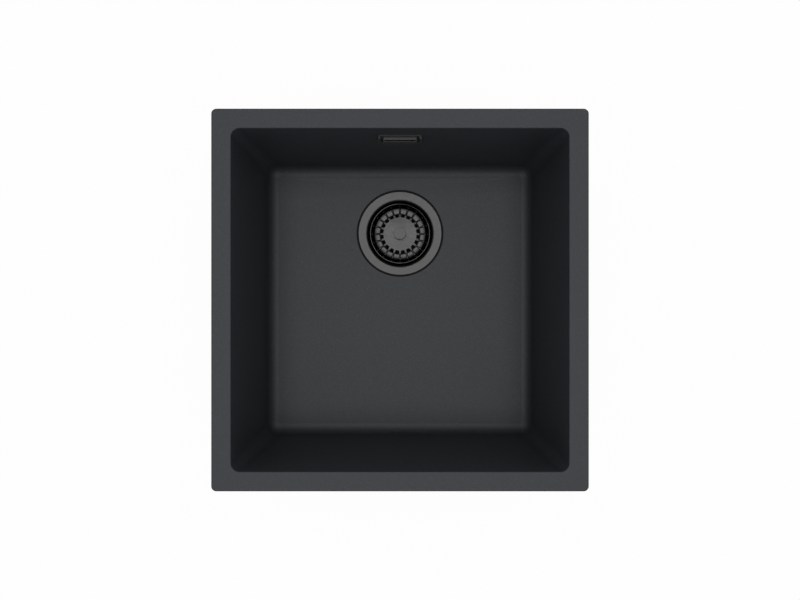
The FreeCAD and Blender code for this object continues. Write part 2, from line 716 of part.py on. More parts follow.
def make_waste_body():
    body = new_body("waste_body")
    at_drain(body)
    wide = chamber_radius + dim.waste_wall
    flange_foot = waste_top + dim.waste_flange_thick
    section = outline(body, "section", "XZ_Plane", [
        (waste_flange, -waste_top),
        (chamber_radius, -waste_top),
        (chamber_radius, -dim.chamber_floor),
        (dim.outlet_radius, -funnel_foot),
        (dim.outlet_radius, -outlet_end),
        (dim.outlet_outer, -outlet_end),
        (dim.outlet_outer, -funnel_foot - dim.waste_wall / 2),
        (wide, -dim.chamber_floor - dim.waste_wall / 2),
        (wide, -flange_foot),
        (waste_flange, -flange_foot)])
    turn(body, "housing", section)
    slope = (chamber_radius - dim.outlet_radius) / dim.funnel_drop
    web_top_reach = chamber_radius - (dim.web_top - dim.chamber_floor) * slope + dim.waste_wall / 2
    web_low_reach = chamber_radius - (dim.web_low - dim.chamber_floor) * slope + dim.waste_wall / 2
    web = outline(body, "web_outline", "XZ_Plane", [
        (web_top_reach, -dim.web_top), (0, -dim.web_top), (0, -dim.web_low), (web_low_reach, -dim.web_low)])
    first_web = pad_both(body, "web", web, dim.web_thick)
    around(body, "all_webs", first_web, dim.webs)
    hub = circles(body, "hub_circle", "XY_Plane", [(0, 0, dim.hub_radius)], -dim.web_low)
    pad(body, "hub", hub, dim.web_low - sump_under)
    socket = circles(body, "socket_circle", "XY_Plane", [(0, 0, dim.insert_radius)], -sump_under)
    cut(body, "socket", socket, dim.insert_length, ahead=False)
    spigot = circles(body, "spigot_circle", "XZ_Plane", [(0, -dim.inlet_drop, dim.spigot_radius)],
                     -inlet_reach)
    pad(body, "spigot", spigot, inlet_reach - chamber_radius)
    bore = circles(body, "bore_circle", "XZ_Plane", [(0, -dim.inlet_drop, dim.spigot_bore)],
                   -inlet_reach)
    cut(body, "bore", bore, inlet_reach - chamber_radius + dim.overrun)
    return body


def make_screw(name, place, radius, head, head_thick, length, head_top):
    """A pan head screw along Z with its head's top at a level below zero."""
    body = new_body(name)
    place(body)
    under = head_top + head_thick
    section = outline(body, "section", "XZ_Plane", [
        (0, -head_top),
        (0, -under - length),
        (radius, -under - length),
        (radius, -under),
        (head, -under),
        (head, -head_top, head_thick * HEAD_ROUND_SHARE)])
    turn(body, "screw", section)
    return body


def make_basket_cup():
    body = new_body("basket_cup")
    at_drain(body)
    gauge = dim.basket_gauge
    hole = dim.stem_radius + dim.fit
    section = outline(body, "section", "XZ_Plane", [
        (basket_radius, -dim.basket_drop, gauge * SHEET_EDGE_SHARE),
        (basket_radius - gauge, -dim.basket_drop, gauge * SHEET_EDGE_SHARE),
        (basket_foot - gauge, -dim.basket_floor, dim.basket_curve),
        (hole, -dim.basket_floor),
        (hole, -basket_under),
        (basket_foot, -basket_under, dim.basket_curve + gauge)])
    turn(body, "pressing", section)
    pitch = HALF_TURN / dim.petals.value
    across = Size(math.cos(math.radians(pitch)), f"cos({HALF_TURN} deg / Sizes.petals)")
    beside = Size(math.sin(math.radians(pitch)), f"sin({HALF_TURN} deg / Sizes.petals)")
    ring = circles(body, "floor_circle", "XY_Plane", [
        (pocket_place * across, pocket_place * beside, dim.basket_hole)], -basket_under)
    first_hole = cut(body, "floor_hole", ring, gauge + dim.overrun)
    around(body, "floor_holes", first_hole, dim.petals)
    slot = outline(body, "side_slot", "YZ_Plane", box_corners(
        -dim.side_slot_half, dim.side_slot_half, -dim.side_slot_low, -dim.side_slot_top))
    first_slot = cut(body, "side_slot_cut", slot, basket_radius + dim.overrun)
    around(body, "side_slots", first_slot, dim.petals)
    return body


def make_basket_sieve():
    body = new_body("basket_sieve")
    at_drain(body)
    top = dim.sieve_top
    skirt = sieve_outer - dim.sieve_skirt
    lip = sieve_inner + dim.sieve_skirt
    section = outline(body, "section", "XZ_Plane", [
        (sieve_outer, -top, dim.sieve_round_out),
        (sieve_inner, -top, dim.sieve_round_in),
        (sieve_inner, -top - dim.sieve_lip),
        (lip, -top - dim.sieve_lip),
        (lip, -top - dim.sieve_thick),
        (skirt, -top - dim.sieve_thick, dim.sieve_round_out - dim.sieve_skirt),
        (skirt, -dim.basket_floor),
        (sieve_outer, -dim.basket_floor)])
    turn(body, "ring", section)
    slot = outline(body, "slot_outline", "XY_Plane", box_corners(
        sieve_inner - dim.sieve_skirt, skirt, -dim.slot_half, dim.slot_half),
        -top - dim.sieve_lip)
    first = cut(body, "slot", slot, dim.sieve_lip + dim.overrun)
    around(body, "slots", first, dim.petals)
    return body


def make_basket_cap():
    body = new_body("basket_cap")
    at_drain(body)
    hole = dim.stem_radius + dim.fit
    under = dim.cap_top + dim.cap_thick
    section = outline(body, "section", "XZ_Plane", [
        (cap_radius, -dim.cap_top),
        (hole, -dim.cap_top),
        (hole, -dim.basket_floor),
        (dim.cap_hub, -dim.basket_floor),
        (dim.cap_hub, -under),
        (cap_radius, -under)])
    turn(body, "disc", section)
    root = cap_radius - dim.cap_thick
    tooth = outline(body, "tooth_outline", "XY_Plane", [
        (root, -dim.tooth_root_half),
        (tooth_radius, -dim.tooth_tip_half),
        (tooth_radius, dim.tooth_tip_half),
        (root, dim.tooth_root_half)], -under)
    first = pad(body, "tooth", tooth, dim.cap_thick)
    around(body, "teeth", first, dim.petals)
    return body


def make_basket_button():
    """The knob with the stem that holds the basket together."""
    body = new_body("basket_button")
    at_drain(body)
    top = dim.cap_top - dim.button_high
    foot = dim.plug_low + dim.nut_high
    section = outline(body, "section", "XZ_Plane", [
        (0, -top),
        (0, -foot),
        (dim.stem_radius, -foot),
        (dim.stem_radius, -dim.cap_top),
        (dim.button_radius, -dim.cap_top),
        (dim.button_radius, -top, dim.button_round)])
    turn(body, "button", section)
    return body


def make_basket_seal():
    body = new_body("basket_seal")
    at_drain(body)
    hole = dim.stem_radius + dim.fit
    shoulder = basket_under + dim.plug_side
    slope = (dim.throat_radius - dim.sump_radius) / dim.seat_drop
    low_radius = dim.throat_radius - (dim.plug_low - dim.seat_start) * slope - dim.seat_gap
    high_radius = dim.throat_radius - (shoulder - dim.seat_start) * slope - dim.seat_gap
    section = outline(body, "section", "XZ_Plane", [
        (high_radius, -basket_under),
        (hole, -basket_under),
        (hole, -dim.plug_low),
        (low_radius, -dim.plug_low),
        (high_radius, -shoulder)])
    turn(body, "plug", section)
    return body


def make_basket_nut():
    body = new_body("basket_nut")
    at_drain(body)
    foot = dim.plug_low + dim.nut_high
    hexagonal = outline(body, "flats", "XY_Plane", hexagon(dim.nut_flats), -foot)
    pad(body, "nut", hexagonal, dim.nut_high)
    hole = circles(body, "hole_circle", "XY_Plane", [(0, 0, dim.stem_radius + dim.fit)], -foot)
    cut(body, "hole", hole, dim.nut_high + dim.overrun)
    return body


def make_overflow_frame():
    """U-shaped surround with a back plate, a window and a sleeve in the wall."""
    body = new_body("overflow_frame")
    at_overflow(body)
    half = dim.frame_width / 2
    high = dim.frame_high / 2
    face = outline(body, "face", "XZ_Plane", [
        (-half, high, dim.frame_top_corner), (-half, -high, dim.frame_corner),
        (half, -high, dim.frame_corner), (half, high, dim.frame_top_corner)])
    slab = pad(body, "slab", face, dim.frame_out)
    soften(body, "edge", slab, dim.frame_edge, facing(-dim.frame_out.value))
    tray_foot = dim.frame_wall - high
    tray_corner = dim.frame_corner - dim.frame_wall
    tray = outline(body, "tray_outline", "XZ_Plane", [
        (-arm_inside, dim.frame_high), (-arm_inside, tray_foot, tray_corner),
        (arm_inside, tray_foot, tray_corner), (arm_inside, dim.frame_high)], dim.frame_back)
    cut(body, "tray", tray, dim.frame_out)
    sleeve_width = hole_width - dim.sleeve_gap * 2
    sleeve_high = hole_high - dim.sleeve_gap * 2
    sleeve_corner = dim.hole_corner - dim.sleeve_gap
    sleeve = block(body, "sleeve_outline", "XZ_Plane", sleeve_width, sleeve_high, sleeve_corner)
    pad(body, "sleeve", sleeve, wall_square, ahead=False)
    inside = block(body, "sleeve_inside", "XZ_Plane", sleeve_width - dim.sleeve_wall * 2,
                   sleeve_high - dim.sleeve_wall * 2, sleeve_corner - dim.sleeve_wall)
    cut(body, "sleeve_bore", inside, wall_square + dim.overrun, ahead=False)
    window = block(body, "window_outline", "XZ_Plane", window_width,
                   sleeve_high - dim.sleeve_wall * 2, dim.window_corner)
    cut(body, "window", window, dim.frame_out + dim.overrun)
    posts = circles(body, "screw_circles", "XZ_Plane", [
        (post_place, 0, dim.small_screw + dim.fit), (-post_place, 0, dim.small_screw + dim.fit)])
    cut(body, "screw_holes", posts, dim.frame_back + dim.overrun)
    return body


def make_overflow_plate():
    """Cover plate: a shelf over a slot, a front panel and a tongue that holds it in the window."""
    body = new_body("overflow_plate")
    at_overflow(body)
    back = dim.frame_back + dim.rest_gap
    half = plate_half
    face = outline(body, "face", "XZ_Plane", [
        (-half, plate_top, dim.plate_corner), (-half, -plate_low, dim.plate_foot_corner),
        (half, -plate_low, dim.plate_foot_corner), (half, plate_top, dim.plate_corner)], back)
    slab = pad(body, "slab", face, dim.plate_out - back)
    soften(body, "edge", slab, dim.plate_edge, facing(-dim.plate_out.value))
    shelf = outline(body, "shelf_outline", "XZ_Plane", box_corners(
        -half, half, slot_low, plate_top), dim.plate_out - dim.shelf_back)
    cut(body, "shelf_face", shelf, dim.plate_out)
    slot = outline(body, "slot_outline", "XZ_Plane", box_corners(
        -slot_reach, slot_reach, slot_low, plate_top - dim.plate_side), back)
    cut(body, "slot", slot, dim.plate_out)
    room_half = half - dim.plate_skin
    room_foot = dim.plate_skin - plate_low
    room_corner = dim.plate_foot_corner - dim.plate_skin
    room = outline(body, "room_outline", "XZ_Plane", [
        (-room_half, slot_low), (-room_half, room_foot, room_corner),
        (room_half, room_foot, room_corner), (room_half, slot_low)], back)
    cut(body, "head_room", room, dim.plate_out - back - dim.plate_skin)
    window_half = hole_high / 2 - dim.sleeve_gap - dim.sleeve_wall
    tongue_half = window_width / 2 - dim.window_corner
    foot = window_half - dim.rest_gap
    tongue = outline(body, "tongue_outline", "XZ_Plane", box_corners(
        -tongue_half, tongue_half, -foot, -foot + dim.tongue_thick), dim.plate_out - dim.plate_skin / 2)
    pad(body, "tongue", tongue, dim.plate_out - dim.plate_skin / 2 + dim.tongue_deep, ahead=False)
    return body


def make_overflow_seal():
    body = new_body("overflow_seal")
    at_overflow(body)
    outer = block(body, "outer", "XZ_Plane", hole_width + dim.seal_edge * 2,
                  hole_high + dim.seal_edge * 2, dim.hole_corner + dim.seal_edge, -wall_square)
    pad(body, "pad", outer, dim.overflow_seal_thick, ahead=False)
    inner = block(body, "inner", "XZ_Plane", hole_width, hole_high, dim.hole_corner,
                  -wall_square)
    cut(body, "hole", inner, dim.overflow_seal_thick + dim.overrun, ahead=False)
    return body


def elbow_section(thick):
    """Corners of the elbow's chamber seen from the side, drawn in by a wall."""
    top = elbow_half - thick
    low = -elbow_half + thick
    return [(elbow_front, top), (elbow_front, low),
            (elbow_front + dim.elbow_low_reach - thick, low),
            (elbow_front + dim.elbow_top_reach - thick, top)]


def make_overflow_elbow():
    """Chamber behind the wall with screw posts and a spigot that points down."""
    body = new_body("overflow_elbow")
    at_overflow(body)
    width = hole_width + dim.sleeve_wall * 2
    chamber = outline(body, "chamber_outline", "YZ_Plane", elbow_section(0))
    pad_both(body, "chamber", chamber, width)
    flange = block(body, "flange_outline", "XZ_Plane", hole_width + dim.elbow_flange_edge * 2,
                   hole_high + dim.elbow_flange_edge * 2,
                   dim.hole_corner + dim.elbow_flange_edge, -elbow_front)
    pad(body, "flange", flange, dim.elbow_flange_thick, ahead=False)
    spigot = circles(body, "spigot_circle", "XY_Plane", [(0, spigot_y, dim.spigot_radius)],
                     -dim.spigot_low)
    pad(body, "spigot", spigot, dim.spigot_low - elbow_half + dim.elbow_wall)
    inside = outline(body, "inside_outline", "YZ_Plane", elbow_section(dim.elbow_wall))
    cut_both(body, "inside", inside, width - dim.elbow_wall * 2)
    bore = circles(body, "bore_circle", "XY_Plane", [(0, spigot_y, dim.spigot_bore)], -dim.spigot_low)
    cut(body, "bore", bore, dim.spigot_low - elbow_half + dim.elbow_wall + dim.overrun)
    post_front = wall_square - dim.post_front
    post_end = elbow_front + (dim.elbow_top_reach + dim.elbow_low_reach) / 2 - dim.elbow_wall / 2
    posts = circles(body, "post_circles", "XZ_Plane", [
        (post_place, 0, dim.post_radius), (-post_place, 0, dim.post_radius)], -post_front)
    pad(body, "posts", posts, post_end - post_front, ahead=False)
    holes = circles(body, "post_holes_circles", "XZ_Plane", [
        (post_place, 0, dim.small_screw + dim.fit),
        (-post_place, 0, dim.small_screw + dim.fit)], -post_front)
    cut(body, "post_holes", holes, dim.small_length, ahead=False)
    return body


def make_overflow_screws():
    """Two screws from the surround's back plate into the elbow's posts."""
    body = new_body("overflow_screws", many=True)
    at_overflow(body)
    heads = circles(body, "head_circle", "XZ_Plane", [(post_place, 0, dim.small_head)],
                    dim.frame_back)
    head = pad(body, "head", heads, dim.small_head_thick)
    shanks = circles(body, "shank_circle", "XZ_Plane", [(post_place, 0, dim.small_screw)],
                     dim.frame_back)
    shank = pad(body, "shank", shanks, dim.small_length, ahead=False)
    mirrored(body, "pair", [head, shank], "YZ_Plane")
    return body


def at_upper_spigot(body):
    """Zero at the elbow's spigot end, +Z along the hose."""
    body.Placement = FreeCAD.Placement(V(0, 0, 0), FreeCAD.Rotation(V(1, 0, 0), along_hose.value))
    bind(body, "Placement.Base.y", upper_end_y)
    bind(body, "Placement.Base.z", upper_end_z)
    bind(body, "Placement.Rotation.Angle", along_hose)


def at_lower_spigot(body):
    """Zero at the housing's spigot end, +Z along the hose."""
    body.Placement = FreeCAD.Placement(V(0, 0, 0), FreeCAD.Rotation(V(1, 0, 0), -QUARTER_TURN))
    bind(body, "Placement.Base.y", lower_end_y)
    bind(body, "Placement.Base.z", lower_end_z)


def make_hose_nut(name, place):
    body = new_body(name)
    place(body)
    lip_start = dim.washer_thick + dim.collar_thick
    end = lip_start + dim.hose_nut_lip
    thread = dim.spigot_radius + dim.fit
    lip = dim.cuff_radius + dim.fit
    round_end = dim.hose_nut_lip / 2
    section = outline(body, "section", "XZ_Plane", [
        (thread, -dim.hose_nut_back),
        (dim.hose_nut_radius, -dim.hose_nut_back, round_end),
        (dim.hose_nut_radius, end, round_end),
        (lip, end),
        (lip, lip_start),
        (thread, lip_start)])
    turn(body, "nut", section)
    flute = circles(body, "flute_circle", "XY_Plane", [(dim.hose_nut_radius, 0, dim.flute_radius)],
                    -dim.hose_nut_back - dim.overrun)
    first = cut(body, "flute", flute, dim.hose_nut_back + dim.overrun + end - dim.hose_nut_lip)
    around(body, "flutes", first, dim.flutes)
    return body


def make_hose_washer(name, place):
    body = new_body(name)
    place(body)
    faces = circles(body, "faces", "XY_Plane", [(0, 0, dim.collar_radius), (0, 0, dim.spigot_bore)])
    pad(body, "washer", faces, dim.washer_thick)
    return body


def hose_route():
    """Path pieces of the hose: straight down the wall, one arc, straight to the housing."""
    angle = math.radians(lean.value)
    sin, cos = math.sin(angle), math.cos(angle)
    start = V(0, upper_end_y.value, upper_end_z.value) + V(0, -sin, -cos) * dim.washer_thick.value
    end_y = lower_end_y.value + dim.washer_thick.value
    arc_y = end_y + dim.crest_radius.value * 2
    fall = start.z - lower_end_z.value
    radius = (start.y - fall * sin / cos - arc_y) / (cos - sin / cos * (1 - sin))
    centre = V(0, arc_y, lower_end_z.value + radius)
    first_end = centre + V(0, cos, -sin) * radius
    half_angle = (math.pi / 2 - angle) / 2 + angle
    middle = centre + V(0, math.cos(half_angle), -math.sin(half_angle)) * radius
    second_start = V(0, arc_y, lower_end_z.value)
    end = V(0, end_y, lower_end_z.value)
    return start, first_end, middle, second_start, end, centre, radius, angle


def make_hose():
    """The ribbed hose: ribs as one ruled loft through four circles each, and a smooth bore."""
    start, first_end, middle, second_start, end, centre, radius, angle = hose_route()
    first_run = (first_end - start).Length
    arc_run = radius * (math.pi / 2 - angle)
    last_run = (end - second_start).Length
    whole = first_run + arc_run + last_run

    def frame(along):
        if along < first_run:
            ahead = (first_end - start).normalize()
            return start + ahead * along, ahead
        if along < first_run + arc_run:
            turned = angle + (along - first_run) / radius
            out = V(0, math.cos(turned), -math.sin(turned))
            return centre + out * radius, V(0, -math.sin(turned), -math.cos(turned))
        ahead = (end - second_start).normalize()
        return second_start + ahead * (along - first_run - arc_run), ahead

    def ring(along, size):
        place, ahead = frame(along)
        circle = Part.Circle(place, ahead, size)
        circle.XAxis = V(1, 0, 0)
        return Part.Wire(circle.toShape())

    collar, cuff, crest = dim.collar_radius.value, dim.cuff_radius.value, dim.crest_radius.value
    slope, flat, pitch = dim.rib_slope.value, dim.rib_crest.value, dim.rib_pitch.value
    thick, plain = dim.collar_thick.value, dim.cuff_length.value
    step = thick * COLLAR_BEVEL_SHARE
    rings = [ring(0, collar), ring(thick - step, collar), ring(thick, cuff)]
    count = int((whole - plain * 2) / pitch)
    room = (whole - count * pitch) / 2
    for i in range(count):
        at = room + i * pitch
        rings += [ring(at, cuff), ring(at + slope, crest),
                  ring(at + slope + flat, crest), ring(at + slope * 2 + flat, cuff)]
    rings += [ring(whole - thick, cuff), ring(whole - thick + step, collar), ring(whole, collar)]
    outside = Part.makeLoft(rings, True, True)
    path = Part.Wire([
        Part.LineSegment(start, first_end).toShape(),
        Part.Arc(first_end, middle, second_start).toShape(),
        Part.LineSegment(second_start, end).toShape()])
    bore_circle = Part.Circle(start, (first_end - start).normalize(), dim.spigot_bore.value)
    bore = path.makePipeShell([Part.Wire(bore_circle.toShape())], True, False)
    hose = doc.addObject("Part::Feature", "overflow_hose")
    hose.Label = "overflow_hose"
    hose.Shape = outside.cut(bore)
    print(f"hose: {whole:.1f} long, {count} ribs, bend {radius:.1f}, "
          f"bore volume {bore.Volume:.0f} of {math.pi * dim.spigot_bore.value ** 2 * whole:.0f}")
    return hose


def bolt_points():
    """The places of the eight bolts without their directions."""
    return [(x, y) for x, y, _ in clamp_places()]


def make_rim_inserts():
    body = new_body("rim_inserts", many=True)
    outer = circles(body, "outer_circles", "XY_Plane", [(x, y, dim.brass_radius) for x, y in bolt_points()],
                    -lug_foot)
    pad(body, "sleeves", outer, dim.brass_length)
    inner = circles(body, "inner_circles", "XY_Plane",
                    [(x, y, dim.bolt_radius + dim.fit) for x, y in bolt_points()], -lug_foot)
    cut(body, "threads", inner, dim.brass_length + dim.overrun)
    return body


def make_clamp_bolts():
    body = new_body("clamp_bolts", many=True)
    shanks = circles(body, "shank_circles", "XY_Plane", [(x, y, dim.bolt_radius) for x, y in bolt_points()],
                     -bolt_head_level)
    pad(body, "shanks", shanks, dim.bolt_length)
    heads = new_sketch(body, "head_outlines", "XY_Plane", -bolt_head_level)
    for x, y in bolt_points():
        draw(heads, hexagon(dim.bolt_flats, x, y))
    pad(body, "heads", heads, dim.bolt_head_thick, ahead=False)
    return body


def make_clamp(number, x, y, turned):
    """A steel clamp parked along the wall. It swings out about its bolt."""
    body = new_body(f"clamp_{number}")
    level = bolt_head_level - dim.rest_gap
    angle = turned + QUARTER_TURN
    body.Placement = FreeCAD.Placement(V(0, 0, 0), FreeCAD.Rotation(V(0, 0, 1), angle))
    bind(body, "Placement.Base.x", x)
    bind(body, "Placement.Base.y", y)
    bind(body, "Placement.Base.z", -level)
    half = dim.clamp_half
    plate = outline(body, "plate_outline", "XY_Plane", [
        (-half, -half, half - dim.clamp_swing_gap), (dim.clamp_reach, -half),
        (dim.clamp_reach, half), (-half, half, half - dim.clamp_swing_gap)])
    pad(body, "plate", plate, dim.clamp_thick)
    tip = outline(body, "tip_outline", "XY_Plane", box_corners(
        dim.clamp_reach - dim.clamp_thick, dim.clamp_reach, -half, half))
    pad(body, "tip", tip, dim.clamp_tip)
    notch = outline(body, "notch_outline", "YZ_Plane", [
        (dim.clamp_tooth_half, dim.clamp_tip), (-dim.clamp_tooth_half, dim.clamp_tip),
        (0, dim.clamp_tip - dim.clamp_tooth_deep)])
    cut(body, "notch", notch, dim.clamp_reach + dim.overrun)
    hole = circles(body, "hole_circle", "XY_Plane", [(0, 0, dim.bolt_radius + dim.clamp_swing_gap)])
    cut(body, "hole", hole, dim.clamp_thick + dim.overrun)
    return body


def build():
    """Every node of the sink."""
    nodes = [
        make_bowl(),
        make_strainer_body(),
        make_ring("strainer_seal", drain_radius + dim.seal_gap, recess_radius - dim.seal_gap,
                  dim.strainer_gauge, dim.recess_deep),
        make_ring("waste_seal", chamber_radius, waste_flange, gasket_top, waste_top),
        make_waste_body(),
        make_screw("waste_screw", at_drain, dim.screw_radius, dim.screw_head, dim.screw_head_thick,
                   dim.strainer_gauge + dim.insert_length, dim.sump_floor - dim.screw_head_thick),
        make_ring("waste_insert", dim.screw_radius + dim.fit, dim.insert_radius, sump_under,
                  sump_under + dim.insert_length),
        make_basket_cup(),
        make_basket_sieve(),
        make_basket_cap(),
        make_basket_button(),
        make_basket_seal(),
        make_basket_nut(),
        make_overflow_frame(),
        make_overflow_plate(),
        make_overflow_seal(),
        make_overflow_elbow(),
        make_overflow_screws(),
        make_hose_nut("hose_nut_upper", at_upper_spigot),
        make_hose_nut("hose_nut_lower", at_lower_spigot),
        make_hose_washer("hose_washer_upper", at_upper_spigot),
        make_hose_washer("hose_washer_lower", at_lower_spigot),
        make_hose(),
        make_rim_inserts(),
        make_clamp_bolts(),
    ]
    for number, (x, y, turned) in enumerate(clamp_places(), start=1):
        nodes.append(make_clamp(number, x, y, turned))
    return nodes


def check(nodes):
    """Stop if a feature failed, a cut took nothing away or a shape is unsound."""
    wrong = []
    for item in doc.Objects:
        if "Invalid" in item.State or "Error" in item.State:
            wrong.append(f"{item.Label}: {item.State}")
        if item.TypeId in ("PartDesign::Pocket", "PartDesign::SubtractiveLoft"):
            if item.Shape.Volume >= item.BaseFeature.Shape.Volume:
                wrong.append(f"{item.Label} cuts nothing")
    for node in nodes:
        if node.Shape.isNull() or not node.Shape.isValid():
            wrong.append(f"{node.Label}: unsound shape")
    if wrong:
        raise RuntimeError("; ".join(wrong))


def export(nodes):
    os.makedirs("parts", exist_ok=True)
    for node in nodes:
        node.Shape.exportStep(f"parts/{node.Label}.step")
        box = node.Shape.BoundBox
        print(f"{node.Label}: {len(node.Shape.Solids)} solid, volume {node.Shape.Volume:.0f}, "
              f"x {box.XMin:.1f} {box.XMax:.1f}, y {box.YMin:.1f} {box.YMax:.1f}, "
              f"z {box.ZMin:.1f} {box.ZMax:.1f}")


doc.recompute()
all_nodes = build()
doc.recompute()
check(all_nodes)
export(all_nodes)
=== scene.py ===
import json
import math

import bpy
from mathutils import Matrix, Vector


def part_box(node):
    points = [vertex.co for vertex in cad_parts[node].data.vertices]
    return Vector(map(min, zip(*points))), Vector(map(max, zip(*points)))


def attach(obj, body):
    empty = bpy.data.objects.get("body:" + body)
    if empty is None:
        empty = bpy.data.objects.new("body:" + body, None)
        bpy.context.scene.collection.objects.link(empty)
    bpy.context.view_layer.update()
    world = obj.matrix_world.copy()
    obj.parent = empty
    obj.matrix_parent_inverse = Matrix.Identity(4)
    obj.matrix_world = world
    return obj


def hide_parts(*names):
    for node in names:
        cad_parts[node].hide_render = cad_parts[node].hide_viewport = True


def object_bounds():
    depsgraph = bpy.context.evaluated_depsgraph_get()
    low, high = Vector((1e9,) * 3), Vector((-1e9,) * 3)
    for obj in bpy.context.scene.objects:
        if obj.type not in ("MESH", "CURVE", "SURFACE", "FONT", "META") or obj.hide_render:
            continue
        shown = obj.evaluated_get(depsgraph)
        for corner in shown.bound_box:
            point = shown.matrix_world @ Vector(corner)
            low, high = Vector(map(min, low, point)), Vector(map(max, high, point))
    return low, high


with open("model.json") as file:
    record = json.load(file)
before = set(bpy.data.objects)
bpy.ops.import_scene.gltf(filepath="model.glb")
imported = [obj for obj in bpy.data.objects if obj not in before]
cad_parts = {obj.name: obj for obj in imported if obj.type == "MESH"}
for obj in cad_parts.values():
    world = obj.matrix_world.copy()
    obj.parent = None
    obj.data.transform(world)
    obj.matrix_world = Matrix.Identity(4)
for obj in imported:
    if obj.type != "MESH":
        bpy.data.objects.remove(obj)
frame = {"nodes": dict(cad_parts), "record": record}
cad_low, cad_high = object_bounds()
nodes = frame["nodes"]

# Lengths in metres
MM = 0.001
TOUCH = 0.01 * MM

# Angles in radians, or in degrees where a name says so; on an oval 0 degrees points outward and 90 up
FULL_TURN = 2 * math.pi
OVAL_OUT_DEGREES = 0
OVAL_TOP_DEGREES = 90

# How finely pieces are turned, rounded and shaded
RING_STEPS = 120
KNOB_STEPS = 96
SPACER_STEPS = 64
SHANK_STEPS = 32
ROUND_STEPS = 2
FINE_ROUND_STEPS = 3
EDGE_DEGREES = 35
KNOB_EDGE_DEGREES = 25
MERGE_DEGREES = 1
SMOOTH_DEGREES = 40
PETAL_SMOOTH_DEGREES = 50
BOLT_SMOOTH_DEGREES = 30

# A face looks one way where its normal goes at least this share that way
FACING_SHARE = 0.5

# The strainer, centred on the drain
strainer_low, strainer_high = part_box("strainer_body")
DRAIN = Vector(((strainer_low.x + strainer_high.x) / 2, (strainer_low.y + strainer_high.y) / 2, 0))
FLANGE_TOP = strainer_high.z
SHEET = 1.1 * MM
BASKET_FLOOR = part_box("basket_cup")[0].z + SHEET

# The petals: radii from the drain's middle, and depths below the flange or below their own top
PETALS = 20
PETAL_TOP = 12.2 * MM
PETAL_HIGH = 4.6 * MM
PETAL_FLAT_IN = 30.1 * MM
PETAL_FLAT_OUT = 34.4 * MM
PETAL_REACH_IN = 3.5 * MM
PETAL_REACH_OUT = 1.7 * MM
PETAL_CROWN_IN = 2.3 * MM
PETAL_CROWN_OUT = 0.6 * MM
PETAL_START_DEGREES = 170
PETAL_STEPS_IN = 8
PETAL_STEPS_OUT = 9
PETAL_STEPS_ACROSS = 16
PETAL_SIDE_DROPS = [0.2 * MM, 0.7 * MM]
PETAL_SIDE = 0.8 * MM
PETAL_SHEET = 0.5 * MM
VALLEY_WIDE = 0.8 * MM

# Painted shade: the petals' colour is painted darker between these radii, about a point a little to the
# rear of the drain's middle
PETAL_BRIGHT = 31.6 * MM
PETAL_DARK = 35.2 * MM
PETAL_DARK_SHARE = 0.1
PETAL_SHADE_BACK = 0.6 * MM

# The ribs between the petals, and the skirt below both
RIB_IN = 24.2 * MM
RIB_FLAT = 26.7 * MM
RIB_BEND = 29.6 * MM
RIB_OUT = 36.2 * MM
RIB_WIDE = 2.6 * MM
RIB_THICK = 1.2 * MM
RIB_DOWN = 0.2 * MM
RIB_FALL = 1.9 * MM
RIB_ROUND = 0.9 * MM
RIB_ROUND_STEPS = 4
RIB_EDGE = 0.15 * MM
SKIRT_OUT = 34.8 * MM
SKIRT_TOP = 4.0 * MM
SKIRT_EDGE_SHARE = 0.3

# The basket's cup: the radius on its edges, and the depths below the flange between which its colour is
# painted darker as painted shade
CUP_EDGE = 0.3 * MM
CUP_BRIGHT = 3.9 * MM
CUP_DARK = 6.5 * MM
CUP_DARK_SHARE = 0.2

# The toothed cap and the lift knob on it
CAP_RADIUS = 23 * MM
FACES_PER_TOOTH = 10
TOOTH_SHARE = 0.4
TOOTH_LENGTH = 2.15 * MM
TOOTH_FALL = 0.3 * MM
TOOTH_EDGE = 0.3 * MM
TIP_SHARE = 0.9
SPACER_RADIUS = 6 * MM
STEM_RADIUS = 3 * MM
KNOB_RADIUS = 8 * MM
KNOB_EDGE = 0.2 * MM
KNOB_DISH = 0.2 * MM
KNOB_DISH_RADIUS_SHARE = 0.45
KNOB_DISH_DEPTH_SHARE = 0.8
KNOB_RIM_RADIUS_SHARE = 0.8
KNOB_WAIST_RADIUS_SHARE = 0.94
KNOB_HEAD_SHARE = 0.28
KNOB_NECK_SHARE = 0.45
KNOB_FLARE_SHARE = 0.2
KNOB_FOOT_SHARE = 0.08

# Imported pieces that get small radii: new name, node, body, slot and radius
CLAMPS = 8
CLAMP_EDGE = 0.45 * MM
SOFTENED = [
    ("waste_housing", "waste_body", "sink", "waste_plastic", 0.6 * MM),
    ("overflow_outlet", "overflow_elbow", "sink", "waste_plastic", 0.7 * MM),
    ("upper_nut", "hose_nut_upper", "sink", "nut_plastic", 0.3 * MM),
    ("lower_nut", "hose_nut_lower", "sink", "nut_plastic", 0.3 * MM),
    ("ribbed_hose", "overflow_hose", "sink", "hose_plastic", 0.45 * MM),
    ("overflow_surround", "overflow_frame", "sink", "overflow_plastic", 0.35 * MM),
    ("overflow_cover_plate", "overflow_plate", "overflow_cover", "overflow_plastic", 0.3 * MM),
]

# The clamps' bolts and their threads
BOLT_SIDES = 6
BOLT_FLATS = 8 * MM
BOLT_HEAD = 3.5 * MM
BOLT_POINT = 0.5 * MM
BOLT_CREST = 2.5 * MM
BOLT_ROOT = 2.05 * MM
BOLT_PITCH = 0.8 * MM
THREAD_BURIED = 0.1 * MM
THREAD_STEPS = 16
THREAD_CORNERS = 4
CREST_SHARE = 0.2

